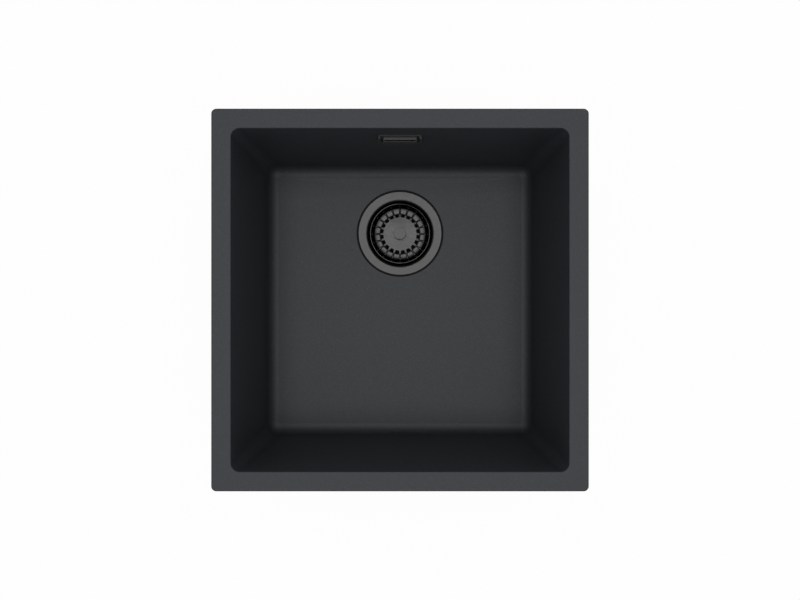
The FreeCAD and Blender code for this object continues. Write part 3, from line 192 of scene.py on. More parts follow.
# The outlet's 1 1/2 inch pipe thread; the bottom of a groove lies half a pitch above the crest below it
OUTLET_LOW = 1.2 * MM
OUTLET_THREADS = 11
OUTLET_PITCH = 2.31 * MM
OUTLET_DEPTH = 1.1 * MM
OUTLET_SKIN = 0.4 * MM
GROOVE_PLACE_SHARE = 0.5
GROOVE_SLACK_SHARE = 0.1

# Granite: its level in linear light, its bluish tint and the shades of its grains as shares of the level
GRANITE_LEVEL = 0.0239
GRANITE_RED_SHARE = 0.925
GRANITE_BLUE_SHARE = 1.17
GRANITE_SPECULAR = 0.24
GRANITE_ROUGH = (0.42, 0.62)
GRANITE_ROUGH_SCALE = 700
GRANITE_RELIEF = 0.02 * MM
GRANITE_RELIEF_SCALE = 900
GRAIN_SCALE = 1100
GRAIN_SHADES = [(0.0, 0.84), (0.45, 0.97), (0.85, 1.04), (0.97, 1.25), (1.0, 1.7)]
CLOUD_SCALE = 14
CLOUD_SHADES = (0.96, 1.04)

# Metal: levels in linear light, roughness and how much it varies, and the shades of the marks
STEEL_LEVEL = 0.0432
# painted light: the cap's steel is a lighter copy of the strainer steel, so the cap shows as bright as
# the flange
CAP_PAINTED_LIGHT_LEVEL = 0.044
PETAL_LEVEL = 0.0455
ZINC_LEVEL = 0.55
BRASS_LEVEL = 0.45
STEEL_ROUGH = 0.36
PETAL_ROUGH = 0.34
ZINC_ROUGH = 0.34
BRASS_ROUGH = 0.28
METAL_UNEVEN = (-0.06, 0.08)
METAL_UNEVEN_SCALE = 240
METAL_RELIEF = 0.006 * MM
MARK_SCALE = 600
MARK_BREAKUP = 0.65
MARK_PLACES = (0.25, 0.75)
MARK_SHADES = (0.88, 1.06)
MARK_WARMTH = 0.01

# Plastic and rubber, the same way
PLASTIC_SPECULAR = 0.5
OVERFLOW_SPECULAR = 0.3
RUBBER_SPECULAR = 0.08
PLASTIC_UNEVEN = (-0.05, 0.08)
PLASTIC_UNEVEN_SCALE = 500
PLASTIC_RELIEF = 0.01 * MM
PLASTIC_RELIEF_SCALE = 1600
PLASTIC_SHADE_SCALE = 60
PLASTIC_PLACES = (0.3, 0.7)
PLASTIC_SHADES = (0.9, 1.06)

# Places of the inputs and the output that a Mix node uses for colours
MIX_FACTOR = 0
MIX_FIRST = 6
MIX_SECOND = 7
MIX_RESULT = 2

# Studio, in metres and watts: the floor, the white room and a ring of soft lamps
FLOOR_SIZE = 12
FLOOR_LEVEL = 0.86
FLOOR_ROUGH = 0.9
FLOOR_GLOW_SHARE = 0.96
ROOM_LIGHT = 0.38
ROOM_SEEN = 1.0
LAMPS = 4
LAMP_RING = 0.95
LAMP_HEIGHT = 3.0
LAMP_SIZE = 0.9
LAMP_POWER = 15.5

# What the photograph's view is made of
PHOTO_WIDTH_PX = 800
FOCAL_PX = 933
CAMERA_OVER_RIM = 1086 * MM
SENSOR_MM = 36


def new_material(name):
    """A node material with an empty Principled shader, ready for its pattern."""
    material = bpy.data.materials.new(name)
    material.use_nodes = True
    tree = material.node_tree
    shader = tree.nodes["Principled BSDF"]
    return material, tree, shader


def node(tree, kind, **settings):
    """A new shader node with its settings."""
    made = tree.nodes.new(kind)
    for key, value in settings.items():
        setattr(made, key, value)
    return made


def place_on_object(tree):
    """Object coordinates, the same on every piece and in every view."""
    return node(tree, "ShaderNodeTexCoord").outputs["Object"]


def noise(tree, where, scale, detail, roughness=0.5):
    """A grey noise of so many waves to the metre."""
    made = node(tree, "ShaderNodeTexNoise")
    made.inputs["Scale"].default_value = scale
    made.inputs["Detail"].default_value = detail
    made.inputs["Roughness"].default_value = roughness
    tree.links.new(where, made.inputs["Vector"])
    return made.outputs["Fac"]


def ramp(tree, source, stops):
    """A colour ramp of (place, colour) stops fed by a grey source."""
    made = node(tree, "ShaderNodeValToRGB")
    band = made.color_ramp
    band.elements[0].position, band.elements[0].color = stops[0][0], (*stops[0][1], 1)
    band.elements[1].position, band.elements[1].color = stops[-1][0], (*stops[-1][1], 1)
    for place, colour in stops[1:-1]:
        band.elements.new(place).color = (*colour, 1)
    tree.links.new(source, made.inputs["Fac"])
    return made.outputs["Color"]


def spread(tree, source, low, high, start=0, stop=1):
    """Map a grey source from start..stop to low..high."""
    made = node(tree, "ShaderNodeMapRange")
    made.inputs["From Min"].default_value = start
    made.inputs["From Max"].default_value = stop
    made.inputs["To Min"].default_value = low
    made.inputs["To Max"].default_value = high
    tree.links.new(source, made.inputs["Value"])
    return made.outputs["Result"]


def by_height(tree, where, low, high, at_low, at_high):
    """A value that goes from at_low to at_high between two heights."""
    parts = node(tree, "ShaderNodeSeparateXYZ")
    tree.links.new(where, parts.inputs["Vector"])
    return spread(tree, parts.outputs["Z"], at_low, at_high, low, high)


def by_radius(tree, where, centre, near, far, at_near, at_far):
    """A value that goes from at_near to at_far between two distances from the upright line at centre."""
    away = node(tree, "ShaderNodeVectorMath", operation="SUBTRACT")
    away.inputs[1].default_value = centre
    tree.links.new(where, away.inputs[0])
    level = node(tree, "ShaderNodeVectorMath", operation="MULTIPLY")
    level.inputs[1].default_value = (1, 1, 0)
    tree.links.new(away.outputs["Vector"], level.inputs[0])
    length = node(tree, "ShaderNodeVectorMath", operation="LENGTH")
    tree.links.new(level.outputs["Vector"], length.inputs[0])
    return spread(tree, length.outputs["Value"], at_near, at_far, near, far)


def shaded(tree, colour, share):
    """A colour times a grey share."""
    greys = node(tree, "ShaderNodeCombineColor")
    for channel in ("Red", "Green", "Blue"):
        tree.links.new(share, greys.inputs[channel])
    product = node(tree, "ShaderNodeMix", data_type="RGBA", blend_type="MULTIPLY")
    product.inputs[MIX_FACTOR].default_value = 1
    tree.links.new(colour, product.inputs[MIX_FIRST])
    tree.links.new(greys.outputs["Color"], product.inputs[MIX_SECOND])
    return product.outputs[MIX_RESULT]


def raise_surface(tree, shader, source, height):
    """A fine relief of a grey source, up to a height."""
    bump = node(tree, "ShaderNodeBump")
    bump.inputs["Strength"].default_value = 1
    bump.inputs["Distance"].default_value = height
    tree.links.new(source, bump.inputs["Height"])
    tree.links.new(bump.outputs["Normal"], shader.inputs["Normal"])


def grey(level, warm=0.0):
    """A near grey in linear light, a little warmer or cooler."""
    return level * (1 + warm), level, level * (1 - warm)


def slate(level):
    """The bluish grey of the granite in linear light."""
    return level * GRANITE_RED_SHARE, level, level * GRANITE_BLUE_SHARE


def granite(name, level):
    """Matt quartz composite: fine pale and dark grains in a dark binder."""
    material, tree, shader = new_material(name)
    where = place_on_object(tree)
    grains = node(tree, "ShaderNodeTexVoronoi", feature="F1")
    grains.inputs["Scale"].default_value = GRAIN_SCALE
    tree.links.new(where, grains.inputs["Vector"])
    split = node(tree, "ShaderNodeSeparateColor")
    tree.links.new(grains.outputs["Color"], split.inputs["Color"])
    stops = [(place, slate(level * share)) for place, share in GRAIN_SHADES]
    grain_colour = ramp(tree, split.outputs["Red"], stops)
    cloud = spread(tree, noise(tree, where, CLOUD_SCALE, detail=4), *CLOUD_SHADES)
    tree.links.new(shaded(tree, grain_colour, cloud), shader.inputs["Base Color"])
    rough = spread(tree, noise(tree, where, GRANITE_ROUGH_SCALE, detail=2), *GRANITE_ROUGH)
    tree.links.new(rough, shader.inputs["Roughness"])
    shader.inputs["Specular IOR Level"].default_value = GRANITE_SPECULAR
    grit = noise(tree, where, GRANITE_RELIEF_SCALE, detail=3)
    raise_surface(tree, shader, grit, GRANITE_RELIEF)
    return material


def brushed_steel(name, level, rough, painted_shade_share=None):
    """Metal with fine marks from spinning and pressing; painted shade makes it darker where the optional
    shade function, if given, is below 1.
    """
    material, tree, shader = new_material(name)
    where = place_on_object(tree)
    marks = noise(tree, where, MARK_SCALE, detail=4, roughness=MARK_BREAKUP)
    dark = grey(level * MARK_SHADES[0])
    light = grey(level * MARK_SHADES[1], MARK_WARMTH)
    colour = ramp(tree, marks, [(MARK_PLACES[0], dark), (MARK_PLACES[1], light)])
    # painted shade: the colour is multiplied by the shade function's share
    if painted_shade_share:
        colour = shaded(tree, colour, painted_shade_share(tree, where))
    tree.links.new(colour, shader.inputs["Base Color"])
    shader.inputs["Metallic"].default_value = 1
    uneven = noise(tree, where, METAL_UNEVEN_SCALE, detail=3)
    tree.links.new(spread(tree, uneven, *(rough + change for change in METAL_UNEVEN)),
                   shader.inputs["Roughness"])
    raise_surface(tree, shader, marks, METAL_RELIEF)
    return material


def moulded(name, colour, rough, specular=PLASTIC_SPECULAR):
    """Moulded plastic or rubber with a fine skin texture and slight shade changes."""
    material, tree, shader = new_material(name)
    shader.inputs["Specular IOR Level"].default_value = specular
    where = place_on_object(tree)
    dark = tuple(c * PLASTIC_SHADES[0] for c in colour)
    light = tuple(min(1.0, c * PLASTIC_SHADES[1]) for c in colour)
    shades = noise(tree, where, PLASTIC_SHADE_SCALE, detail=4)
    tree.links.new(ramp(tree, shades, [(PLASTIC_PLACES[0], dark), (PLASTIC_PLACES[1], light)]),
                   shader.inputs["Base Color"])
    uneven = noise(tree, where, PLASTIC_UNEVEN_SCALE, detail=2)
    tree.links.new(spread(tree, uneven, *(rough + change for change in PLASTIC_UNEVEN)),
                   shader.inputs["Roughness"])
    raise_surface(tree, shader, noise(tree, where, PLASTIC_RELIEF_SCALE, detail=2), PLASTIC_RELIEF)
    return material


finishes = {
    "granite": granite("granite_composite", GRANITE_LEVEL),
    "steel": brushed_steel("dark_strainer_steel", STEEL_LEVEL, STEEL_ROUGH),
    "zinc_steel": brushed_steel("zinc_plated_steel", ZINC_LEVEL, ZINC_ROUGH),
    "brass": brushed_steel("turned_brass", BRASS_LEVEL, BRASS_ROUGH),
    "black_rubber": moulded("black_rubber", (0.007, 0.007, 0.0075), rough=0.7, specular=RUBBER_SPECULAR),
    "waste_plastic": moulded("white_waste_plastic", (0.72, 0.72, 0.70), rough=0.42),
    "nut_plastic": moulded("grey_nut_plastic", (0.09, 0.095, 0.10), rough=0.45),
    "hose_plastic": moulded("hose_plastic", (0.55, 0.55, 0.54), rough=0.48),
    "overflow_plastic": moulded("overflow_plastic", (0.026, 0.026, 0.027), rough=0.55,
                                specular=OVERFLOW_SPECULAR),
}

for entry in frame["record"]["subparts"]:
    piece = nodes[entry["node"]]
    piece.data.materials.clear()
    piece.data.materials.append(finishes[entry["material_slot"]])


def clear_selection():
    """Leave edit mode and deselect every object."""
    if bpy.context.object and bpy.context.object.mode != "OBJECT":
        bpy.ops.object.mode_set(mode="OBJECT")
    bpy.ops.object.select_all(action="DESELECT")


def choose(piece):
    """Select one piece alone and make it the active one."""
    clear_selection()
    piece.select_set(True)
    bpy.context.view_layer.objects.active = piece


def edit(piece):
    """Open one piece for editing with nothing selected on it."""
    choose(piece)
    bpy.ops.object.mode_set(mode="EDIT")
    bpy.ops.mesh.select_all(action="DESELECT")


def done():
    """Go back from edit mode to object mode."""
    bpy.ops.object.mode_set(mode="OBJECT")


def settle(piece):
    """Put a piece's place into its mesh."""
    choose(piece)
    bpy.ops.object.transform_apply(location=True, rotation=True, scale=True)


def pick_faces(piece, wanted):
    """Select the faces for which wanted(centre, normal) holds, and open the piece for editing."""
    choose(piece)
    for vertex in piece.data.vertices:
        vertex.select = False
    for edge in piece.data.edges:
        edge.select = False
    for face in piece.data.polygons:
        face.select = wanted(face.center, face.normal)
    bpy.ops.object.mode_set(mode="EDIT")
    bpy.ops.mesh.select_mode(type="FACE")


def pick_points(piece, wanted):
    """Select the corners for which wanted(place) holds, and open the piece for editing."""
    edit(piece)
    bpy.ops.mesh.select_mode(type="VERT")
    done()
    for vertex in piece.data.vertices:
        vertex.select = wanted(vertex.co)
    bpy.ops.object.mode_set(mode="EDIT")


def extrude(step):
    """Extrude what is selected by a step."""
    bpy.ops.mesh.extrude_region_move(TRANSFORM_OT_translate={"value": step})


def merge_points():
    """Merge the open piece's points that touch."""
    bpy.ops.mesh.select_all(action="SELECT")
    bpy.ops.mesh.remove_doubles(threshold=TOUCH)


def face_outward():
    """Turn the open piece's faces outward."""
    bpy.ops.mesh.select_all(action="SELECT")
    bpy.ops.mesh.normals_make_consistent(inside=False)


def apply_modifier(piece, kind, **settings):
    """Put one modifier on a piece and apply it."""
    choose(piece)
    made = piece.modifiers.new(kind.lower(), kind)
    for key, value in settings.items():
        setattr(made, key, value)
    bpy.ops.object.modifier_apply(modifier=made.name)


def round_edges(piece, width, segments=ROUND_STEPS, degrees=EDGE_DEGREES):
    """A small radius on every edge that turns by more than the angle."""
    apply_modifier(piece, "BEVEL", width=width, segments=segments, limit_method="ANGLE",
                   angle_limit=math.radians(degrees), use_clamp_overlap=True)


def shade(piece, degrees=SMOOTH_DEGREES):
    """Smooth shading but for edges that turn by more than the angle."""
    choose(piece)
    bpy.ops.object.shade_smooth_by_angle(angle=math.radians(degrees))


def own_copy(piece):
    """A copy of a piece with its own mesh."""
    copy = piece.copy()
    copy.data = piece.data.copy()
    bpy.context.scene.collection.objects.link(copy)
    return copy


def join(name, pieces):
    """Make several pieces one, under a new name."""
    clear_selection()
    for piece in pieces:
        piece.select_set(True)
    bpy.context.view_layer.objects.active = pieces[0]
    bpy.ops.object.join()
    whole = bpy.context.object
    whole.name = name
    whole.data.name = name
    return whole


def turn_about(piece, angle, centre):
    """Turn a piece by an angle about the upright line through centre."""
    where = Matrix.Translation(centre) @ Matrix.Rotation(angle, 4, "Z") @ Matrix.Translation(-centre)
    piece.matrix_world = where @ piece.matrix_world
    settle(piece)


def ring_of(name, piece, count, centre, first=0.0):
    """Copies of one piece, each with its own mesh, set round a centre and joined."""
    copies = []
    for k in range(count):
        copy = own_copy(piece)
        turn_about(copy, first + k * FULL_TURN / count, centre)
        copies.append(copy)
    bpy.data.objects.remove(piece)
    return join(name, copies)


def turned(name, points, centre, steps=RING_STEPS, angle=FULL_TURN):
    """A piece turned about the upright line through centre from (radius, height) points.

    The turn starts at +X and goes clockwise, seen from above."""
    clear_selection()
    radius, height = points[0]
    bpy.ops.mesh.primitive_plane_add(size=MM, location=(centre.x + radius, centre.y, height))
    piece = bpy.context.object
    settle(piece)
    edit(piece)
    bpy.ops.mesh.select_mode(type="VERT")
    bpy.ops.mesh.select_all(action="SELECT")
    bpy.ops.mesh.merge(type="CENTER")
    for before, after in zip(points, points[1:]):
        extrude((after[0] - before[0], 0, after[1] - before[1]))
    merge_points()
    bpy.ops.mesh.select_all(action="SELECT")
    bpy.ops.mesh.spin(steps=steps, angle=angle, center=centre, axis=(0, 0, 1))
    merge_points()
    face_outward()
    done()
    piece.name = name
    piece.data.name = name
    return piece


def soft_copy(name, source, width):
    """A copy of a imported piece, its triangles merged and its sharp edges given a small radius."""
    clear_selection()
    mesh = nodes[source].data.copy()
    piece = bpy.data.objects.new(name, mesh)
    mesh.name = name
    bpy.context.scene.collection.objects.link(piece)
    edit(piece)
    bpy.ops.mesh.customdata_custom_splitnormals_clear()
    merge_points()
    bpy.ops.mesh.dissolve_limited(angle_limit=math.radians(MERGE_DEGREES))
    done()
    round_edges(piece, width)
    return piece


def dress(piece, body, material_slot, *replaced, finish=None):
    """Give a finished piece its material, the body it moves with and the nodes it stands for.

    A piece that already has two materials keeps them."""
    if len(piece.data.materials) < 2:
        piece.data.materials.clear()
        piece.data.materials.append(finish or finishes[material_slot])
    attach(piece, body)
    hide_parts(*replaced)


def oval_points(centre_radius, centre_height, reach, rise, start, stop, count):
    """Points (radius, height) along part of an oval, from one angle in degrees to another."""
    points = []
    for k in range(count + 1):
        angle = math.radians(start + (stop - start) * k / count)
        points.append((centre_radius + reach * math.cos(angle), centre_height + rise * math.sin(angle)))
    return points


def make_petal():
    """One pillow shaped petal of thin sheet, its middle on the X direction from the drain."""
    top = FLANGE_TOP - PETAL_TOP
    open_angle = FULL_TURN / PETALS - VALLEY_WIDE / PETAL_FLAT_IN
    crown = oval_points(PETAL_FLAT_IN, top - PETAL_CROWN_IN, PETAL_REACH_IN, PETAL_CROWN_IN,
                        PETAL_START_DEGREES, OVAL_TOP_DEGREES, PETAL_STEPS_IN)
    crown += oval_points(PETAL_FLAT_OUT, top - PETAL_CROWN_OUT, PETAL_REACH_OUT, PETAL_CROWN_OUT,
                         OVAL_TOP_DEGREES, OVAL_OUT_DEGREES, PETAL_STEPS_OUT)
    crown = [(crown[0][0], top - PETAL_HIGH)] + crown + [(crown[-1][0], BASKET_FLOOR)]
    petal = turned("petal", crown, DRAIN, PETAL_STEPS_ACROSS, open_angle)
    turn_about(petal, open_angle / 2, DRAIN)
    step = open_angle / PETAL_STEPS_ACROSS

    def outside(place, columns):
        angle = math.atan2(place.y - DRAIN.y, place.x - DRAIN.x)
        return abs(angle) > open_angle / 2 - (columns - 0.5) * step

    for k, drop in enumerate(PETAL_SIDE_DROPS):
        pick_points(petal, lambda place: outside(place, len(PETAL_SIDE_DROPS) - k))
        bpy.ops.transform.translate(value=(0, 0, -drop))
        done()
    pick_points(petal, lambda place: outside(place, 1))
    extrude((0, 0, -PETAL_SIDE))
    face_outward()
    done()
    apply_modifier(petal, "SOLIDIFY", thickness=PETAL_SHEET, offset=-1)
    return petal


def make_rib():
    """One radial rib, from under a tooth of the cap down into the groove between two petals."""
    top = FLANGE_TOP - PETAL_TOP - RIB_DOWN
    long = RIB_FLAT - RIB_IN
    clear_selection()
    middle = (DRAIN.x + RIB_IN + long / 2, DRAIN.y, top - RIB_THICK / 2)
    bpy.ops.mesh.primitive_cube_add(size=1, location=middle, scale=(long, RIB_WIDE, RIB_THICK))
    rib = bpy.context.object
    settle(rib)
    pick_faces(rib, lambda centre, normal: normal.x > FACING_SHARE)
    extrude((RIB_BEND - RIB_FLAT, 0, -RIB_FALL))
    extrude((RIB_OUT - RIB_BEND, 0, 0))
    done()
    end = DRAIN.x + RIB_OUT
    upper = top - RIB_FALL
    pick_points(rib, lambda place: place.x > end - TOUCH and place.z > upper - TOUCH)
    bpy.ops.mesh.bevel(offset=RIB_ROUND, segments=RIB_ROUND_STEPS, affect="EDGES")
    done()
    round_edges(rib, RIB_EDGE)
    return rib


def make_petal_ring():
    """Twenty petals with a rib between each two, on the skirt that stands in the basket."""
    skirt_top = FLANGE_TOP - PETAL_TOP - SKIRT_TOP
    petals = ring_of("petals", make_petal(), PETALS, DRAIN, FULL_TURN / PETALS / 2)
    ribs = ring_of("ribs", make_rib(), PETALS, DRAIN)
    skirt = turned("skirt", [
        (SKIRT_OUT - SHEET, skirt_top), (SKIRT_OUT, skirt_top),
        (SKIRT_OUT, BASKET_FLOOR), (SKIRT_OUT - SHEET, BASKET_FLOOR),
        (SKIRT_OUT - SHEET, skirt_top)], DRAIN)
    round_edges(skirt, SHEET * SKIRT_EDGE_SHARE, FINE_ROUND_STEPS)
    centre = DRAIN + Vector((0, PETAL_SHADE_BACK, 0))

    # painted shade: the petals and skirt are darker the farther they lie from a point a little to the
    # rear of the drain
    def painted_shade(tree, where):
        return by_radius(tree, where, centre, PETAL_BRIGHT, PETAL_DARK, 1, PETAL_DARK_SHARE)

    petal_steel_painted_shade = brushed_steel("petal_steel_with_painted_shade", PETAL_LEVEL, PETAL_ROUGH, painted_shade)
    for piece, finish in ((petals, petal_steel_painted_shade), (ribs, finishes["steel"]), (skirt, petal_steel_painted_shade)):
        piece.data.materials.append(finish)
    whole = join("petal_ring", [petals, ribs, skirt])
    shade(whole, PETAL_SMOOTH_DEGREES)
    dress(whole, "basket", "steel", "basket_sieve")


def make_toothed_cap():
    """The flat disc with twenty short teeth, and the spacer under it."""
    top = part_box("basket_cap")[1].z
    clear_selection()
    bpy.ops.mesh.primitive_cylinder_add(vertices=PETALS * FACES_PER_TOOTH, radius=CAP_RADIUS, depth=SHEET,
                                        location=(DRAIN.x, DRAIN.y, top - SHEET / 2))
    cap = bpy.context.object
    settle(cap)
    pitch = FULL_TURN / PETALS
    for k in range(PETALS):
        ahead = Vector((math.cos(k * pitch), math.sin(k * pitch), 0))

        def on_tooth(centre, normal):
            out = Vector((centre.x - DRAIN.x, centre.y - DRAIN.y, 0)).normalized()
            return abs(normal.z) < FACING_SHARE and out.angle(ahead) < pitch * TOOTH_SHARE / 2

        pick_faces(cap, on_tooth)
        step = ahead * TOOTH_LENGTH
        extrude((step.x, step.y, 0))
        tip = DRAIN + ahead * (CAP_RADIUS + TOOTH_LENGTH)
        side = Matrix.Rotation(k * pitch, 3, "Z")
        bpy.ops.transform.resize(value=(1, TIP_SHARE, 1), orient_type="LOCAL", orient_matrix=side,
                                 orient_matrix_type="LOCAL", center_override=(tip.x, tip.y, top))
        bpy.ops.transform.translate(value=(0, 0, -TOOTH_FALL))
        done()
    round_edges(cap, TOOTH_EDGE, FINE_ROUND_STEPS)
    spacer = turned("spacer", [
        (STEM_RADIUS, top - SHEET), (SPACER_RADIUS, top - SHEET), (SPACER_RADIUS, BASKET_FLOOR),
        (STEM_RADIUS, BASKET_FLOOR), (STEM_RADIUS, top - SHEET)], DRAIN, SPACER_STEPS)
    whole = join("toothed_cap", [cap, spacer])
    shade(whole)
    # painted light: the cap gets a lighter copy of the strainer steel
    finish = brushed_steel("cap_steel_painted_lighter", CAP_PAINTED_LIGHT_LEVEL, STEEL_ROUGH)
    dress(whole, "basket", "steel", "basket_cap", finish=finish)


def make_trough():
    """The basket's cup as packed, its edges rounded, with painted shade darkening it below its rim."""
    trough = soft_copy("basket_trough", "basket_cup", CUP_EDGE)
    shade(trough)

    # painted shade: the cup's colour is darker the deeper it lies below the flange
    def painted_shade(tree, where):
        return by_height(tree, where, FLANGE_TOP - CUP_DARK, FLANGE_TOP - CUP_BRIGHT, CUP_DARK_SHARE, 1)

    finish = brushed_steel("basket_steel_with_painted_shade", STEEL_LEVEL, STEEL_ROUGH, painted_shade)
    dress(trough, "basket", "steel", "basket_cup", finish=finish)


def make_lift_knob():
    """The knob by which the basket is lifted, with its stem."""
    low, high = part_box("basket_button")
    top = high.z
    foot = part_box("basket_cap")[1].z
    tall = top - foot
    waist = KNOB_RADIUS * KNOB_WAIST_RADIUS_SHARE
    knob = turned("lift_knob", [
        (0, top - KNOB_DISH),
        (KNOB_RADIUS * KNOB_DISH_RADIUS_SHARE, top - KNOB_DISH * KNOB_DISH_DEPTH_SHARE),
        (KNOB_RADIUS * KNOB_RIM_RADIUS_SHARE, top),
        (KNOB_RADIUS, top),
        (KNOB_RADIUS, top - tall * KNOB_HEAD_SHARE),
        (waist, top - tall * KNOB_NECK_SHARE),
        (waist, foot + tall * KNOB_FLARE_SHARE),
        (KNOB_RADIUS, foot + tall * KNOB_FOOT_SHARE),
        (KNOB_RADIUS, foot),
        (STEM_RADIUS, foot),
        (STEM_RADIUS, low.z),
        (0, low.z)], DRAIN, KNOB_STEPS)
    round_edges(knob, KNOB_EDGE, FINE_ROUND_STEPS, KNOB_EDGE_DEGREES)
    shade(knob)
    dress(knob, "basket", "steel", "basket_button")


def cut_outlet_thread(housing):
    """Grooves of the pipe thread on the outlet of the waste housing."""
    start = cad_low[2] + OUTLET_LOW
    crest = max((vertex.co.xy - DRAIN.xy).length for vertex in housing.data.vertices
                if vertex.co.z < start + OUTLET_PITCH)
    for k in range(OUTLET_THREADS * 2 + 1):
        edit(housing)
        bpy.ops.mesh.select_all(action="SELECT")
        bpy.ops.mesh.bisect(plane_co=(0, 0, start + k * OUTLET_PITCH / 2), plane_no=(0, 0, 1))
        done()

    def in_groove(place):
        step = (place.z - start) / OUTLET_PITCH
        on_thread = 0 < step < OUTLET_THREADS and (place.xy - DRAIN.xy).length >= crest - OUTLET_SKIN
        return on_thread and abs(step % 1 - GROOVE_PLACE_SHARE) < GROOVE_SLACK_SHARE

    pick_points(housing, in_groove)
    share = (crest - OUTLET_DEPTH) / crest
    bpy.ops.transform.resize(value=(share, share, 1), center_override=(DRAIN.x, DRAIN.y, start))
    done()


def make_softened_pieces():
    """Moulded and bent pieces as packed, with the small radii of the real ones on their edges."""
    for name, source, body, material_slot, width in SOFTENED:
        piece = soft_copy(name, source, width)
        if source == "waste_body":
            cut_outlet_thread(piece)
        shade(piece)
        dress(piece, body, material_slot, source)
    for k in range(1, CLAMPS + 1):
        piece = soft_copy(f"clamp_plate_{k}", f"clamp_{k}", CLAMP_EDGE)
        shade(piece)
        dress(piece, f"clamp_{k}_arm", "zinc_steel", f"clamp_{k}")


def make_thread(name, place, root, crest, pitch, turns):
    """A closed ridge that climbs about the upright line through place."""
    clear_selection()
    bpy.ops.mesh.primitive_plane_add(size=1, location=place, rotation=(FULL_TURN / 4, 0, 0))
    ridge = bpy.context.object
    bpy.ops.object.transform_apply(location=False, rotation=True, scale=True)
    middle = (crest + root - THREAD_BURIED) / 2
    edit(ridge)
    bpy.ops.mesh.select_all(action="SELECT")
    bpy.ops.transform.resize(value=(crest - root + THREAD_BURIED, 1, pitch), center_override=place)
    bpy.ops.transform.translate(value=(middle, 0, pitch / 2))
    bpy.ops.mesh.delete(type="ONLY_FACE")
    done()
    pick_points(ridge, lambda spot: spot.x > middle)
    bpy.ops.transform.resize(value=(1, 1, CREST_SHARE),
                             center_override=(place.x, place.y, place.z + pitch / 2))
    done()
    apply_modifier(ridge, "SCREW", angle=FULL_TURN, screw_offset=pitch, iterations=turns,
                   steps=THREAD_STEPS, render_steps=THREAD_STEPS)
    settle(ridge)
    edit(ridge)
    merge_points()
    bpy.ops.mesh.select_all(action="SELECT")
    bpy.ops.mesh.fill_holes(sides=THREAD_CORNERS)
    face_outward()
    done()
    ridge.name = name
    return ridge


def make_bolts():
    """Eight threaded hexagon bolts, one modelled and the others copied from it."""
    low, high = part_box("clamp_bolts")
    places = [Vector(joint["pos_m"]) for joint in frame["record"]["behaviour"]["joints"]
              if joint["name"].startswith("clamp_")]
    centre = Vector((places[0].x, places[0].y, 0))
    foot = low.z + BOLT_HEAD
    shank = turned("shank", [
        (0, high.z), (BOLT_ROOT - BOLT_POINT, high.z), (BOLT_ROOT, high.z - BOLT_POINT),
        (BOLT_ROOT, foot - BOLT_POINT), (0, foot - BOLT_POINT)], centre, SHANK_STEPS)
    turns = int((high.z - BOLT_POINT - foot) / BOLT_PITCH)
    start = Vector((centre.x, centre.y, foot))
    ridge = make_thread("ridge", start, BOLT_ROOT, BOLT_CREST, BOLT_PITCH, turns)
    corner_radius = BOLT_FLATS / 2 / math.cos(FULL_TURN / BOLT_SIDES / 2)
    clear_selection()
    bpy.ops.mesh.primitive_cylinder_add(vertices=BOLT_SIDES, radius=corner_radius, depth=BOLT_HEAD,
                                        location=(centre.x, centre.y, low.z + BOLT_HEAD / 2),
                                        rotation=(0, 0, FULL_TURN / BOLT_SIDES / 2))
    head = bpy.context.object
    settle(head)
    pick_faces(head, lambda middle, normal: normal.z < -FACING_SHARE)
    bpy.ops.mesh.inset(thickness=BOLT_POINT, depth=0)
    extrude((0, 0, BOLT_POINT))
    done()
    round_edges(head, BOLT_POINT / 2)
    bolts = [join("bolt", [shank, ridge, head])]
    for place in places[1:]:
        copy = own_copy(bolts[0])
        copy.location = (place.x - centre.x, place.y - centre.y, 0)
        settle(copy)
        bolts.append(copy)
    whole = join("threaded_bolts", bolts)
    shade(whole, BOLT_SMOOTH_DEGREES)
    dress(whole, "sink", "zinc_steel", "clamp_bolts")


def seen_or_mirrored(tree):
    """One for rays from the eye, directly or by way of metal or glass, and zero for light."""
    path = node(tree, "ShaderNodeLightPath")
    total = path.outputs["Is Camera Ray"]
    for kind in ("Is Glossy Ray", "Is Transmission Ray"):
        larger = node(tree, "ShaderNodeMath", operation="MAXIMUM")
        tree.links.new(total, larger.inputs[0])
        tree.links.new(path.outputs[kind], larger.inputs[1])
        total = larger.outputs["Value"]
    return total


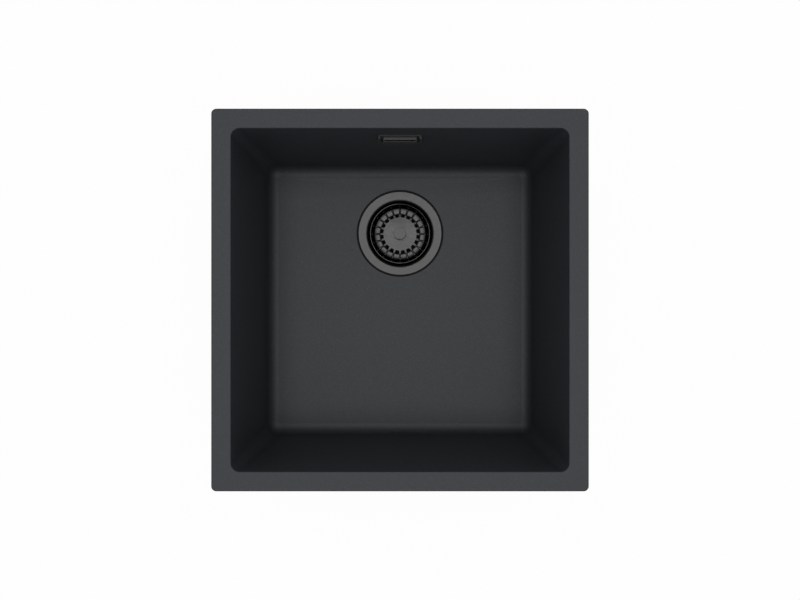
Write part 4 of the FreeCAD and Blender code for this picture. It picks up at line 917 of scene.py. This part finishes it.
def make_floor():
    """A pale floor under the sink that shows white to the eye and keeps a faint shadow."""
    clear_selection()
    bpy.ops.mesh.primitive_plane_add(size=FLOOR_SIZE, location=(0, 0, cad_low[2]))
    floor = bpy.context.object
    floor.name = "floor"
    material, tree, shader = new_material("pale_floor")
    shader.inputs["Base Color"].default_value = (*grey(FLOOR_LEVEL), 1)
    shader.inputs["Roughness"].default_value = FLOOR_ROUGH
    shader.inputs["Specular IOR Level"].default_value = 0
    glow = node(tree, "ShaderNodeEmission")
    glow.inputs["Strength"].default_value = 1
    keep = node(tree, "ShaderNodeMath", operation="MULTIPLY")
    tree.links.new(seen_or_mirrored(tree), keep.inputs[0])
    keep.inputs[1].default_value = FLOOR_GLOW_SHARE
    mixed = node(tree, "ShaderNodeMixShader")
    tree.links.new(keep.outputs["Value"], mixed.inputs["Fac"])
    tree.links.new(shader.outputs["BSDF"], mixed.inputs[1])
    tree.links.new(glow.outputs["Emission"], mixed.inputs[2])
    tree.links.new(mixed.outputs["Shader"], tree.nodes["Material Output"].inputs["Surface"])
    floor.data.materials.append(material)


def area_light(name, place, size, power):
    """A round soft lamp at a place, aimed at the middle of the rim."""
    light = bpy.data.lights.new(name, "AREA")
    light.shape = "DISK"
    light.size = size
    light.energy = power
    lamp = bpy.data.objects.new(name, light)
    bpy.context.scene.collection.objects.link(lamp)
    lamp.location = place
    lamp.rotation_euler = Vector(place).to_track_quat("Z", "Y").to_euler()


def light_scene():
    """A white room that lights less than it shows, and a ring of lamps overhead."""
    world = bpy.data.worlds.new("studio")
    bpy.context.scene.world = world
    world.use_nodes = True
    tree = world.node_tree
    background = tree.nodes["Background"]
    background.inputs["Color"].default_value = (1, 1, 1, 1)
    strength = spread(tree, seen_or_mirrored(tree), ROOM_LIGHT, ROOM_SEEN)
    tree.links.new(strength, background.inputs["Strength"])
    for k in range(LAMPS):
        turn = (k + 0.5) * FULL_TURN / LAMPS
        place = (LAMP_RING * math.cos(turn), LAMP_RING * math.sin(turn), LAMP_HEIGHT)
        area_light(f"softbox_{k}", place, LAMP_SIZE, LAMP_POWER)


def place_camera():
    """The photograph's camera, straight above the middle of the rim."""
    camera = bpy.data.cameras.new("camera")
    camera.sensor_width = SENSOR_MM
    camera.lens = FOCAL_PX / PHOTO_WIDTH_PX * SENSOR_MM
    eye = bpy.data.objects.new("camera", camera)
    eye.location = (0, 0, CAMERA_OVER_RIM)
    bpy.context.scene.collection.objects.link(eye)
    bpy.context.scene.camera = eye


make_petal_ring()
make_toothed_cap()
make_trough()
make_lift_knob()
make_softened_pieces()
make_bolts()
make_floor()
light_scene()
place_camera()
bpy.context.scene.view_settings.view_transform = "Standard"
